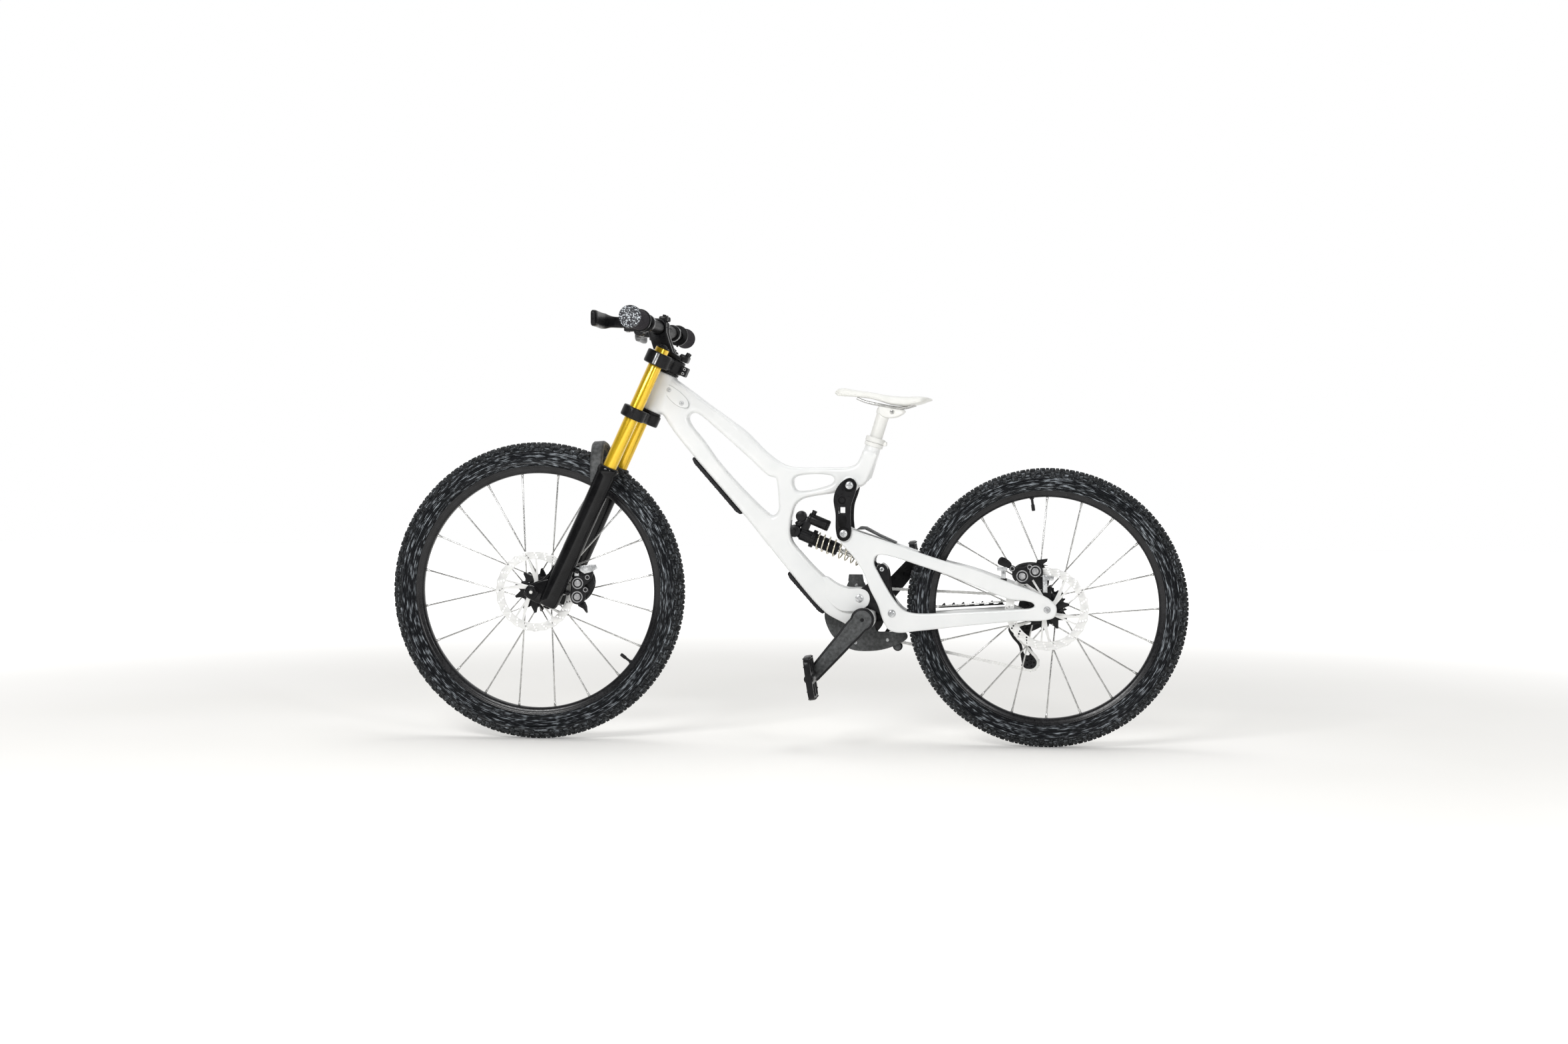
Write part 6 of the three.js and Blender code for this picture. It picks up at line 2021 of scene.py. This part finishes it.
def air():
    """White to the camera from all sides; as light and in reflections it is dim on the left side (-Y)
    and bright on the right, so that black parts stay black."""
    world = bpy.data.worlds.new("studio_air")
    bpy.context.scene.world = world
    world.use_nodes = True
    nodes, links = world.node_tree.nodes, world.node_tree.links
    way = nodes.new("ShaderNodeTexCoord")
    split = nodes.new("ShaderNodeSeparateXYZ")
    links.new(way.outputs["Generated"], split.inputs["Vector"])
    fade = nodes.new("ShaderNodeMapRange")
    fade.inputs["From Min"].default_value = -0.3
    fade.inputs["From Max"].default_value = 0.5
    fade.inputs["To Min"].default_value = 0.07
    fade.inputs["To Max"].default_value = 0.85
    links.new(split.outputs["Y"], fade.inputs["Value"])
    background = nodes["Background"]
    background.inputs["Color"].default_value = (1, 1, 1, 1)
    ray = nodes.new("ShaderNodeLightPath")
    seen = nodes.new("ShaderNodeMath")
    seen.operation = "MAXIMUM"
    links.new(fade.outputs["Result"], seen.inputs[0])
    links.new(ray.outputs["Is Camera Ray"], seen.inputs[1])
    links.new(seen.outputs[0], background.inputs["Strength"])


def softbox(name, spot, target, width, height, power):
    """A rectangular light that is itself not seen by the camera."""
    light = bpy.data.lights.new(name, "AREA")
    light.shape = "RECTANGLE"
    light.size = width
    light.size_y = height
    light.energy = power
    lamp = bpy.data.objects.new(name, light)
    bpy.context.collection.objects.link(lamp)
    lamp.location = spot
    lamp.visible_camera = False
    lamp.rotation_euler = (Vector(target) - Vector(spot)).to_track_quat("-Z", "Y").to_euler()


studio()
air()
softbox("key", (-1.5, -4.3, 3.0), (0, 0, 0.5), 2.2, 1.2, 134)
softbox("fill", (2.4, -4.2, 1.9), (0.1, 0, 0.5), 0.7, 1.8, 40)
softbox("top", (0.2, 0.2, 3.6), (0, 0, 0.4), 3.0, 1.4, 34)

# The photograph's view: from the rider's left, a little behind and nearly level.
CAMERA_SPOT = (0.59759, -5.15398, 0.66687)
YAW, PITCH, ROLL = 0.1151, 0.0224, 0.003
camera_data = bpy.data.cameras.new("camera")
camera_data.lens = 47.82
camera_data.sensor_width = 36
camera_data.clip_end = 60
camera = bpy.data.objects.new("camera", camera_data)
bpy.context.collection.objects.link(camera)
ahead = Vector((-math.sin(YAW) * math.cos(PITCH), math.cos(YAW) * math.cos(PITCH), -math.sin(PITCH)))
turn = ahead.to_track_quat("-Z", "Y").to_matrix().to_4x4() @ Matrix.Rotation(ROLL, 4, "Z")
camera.matrix_world = Matrix.Translation(CAMERA_SPOT) @ turn
bpy.context.scene.camera = camera
bpy.context.scene.view_settings.view_transform = "Standard"
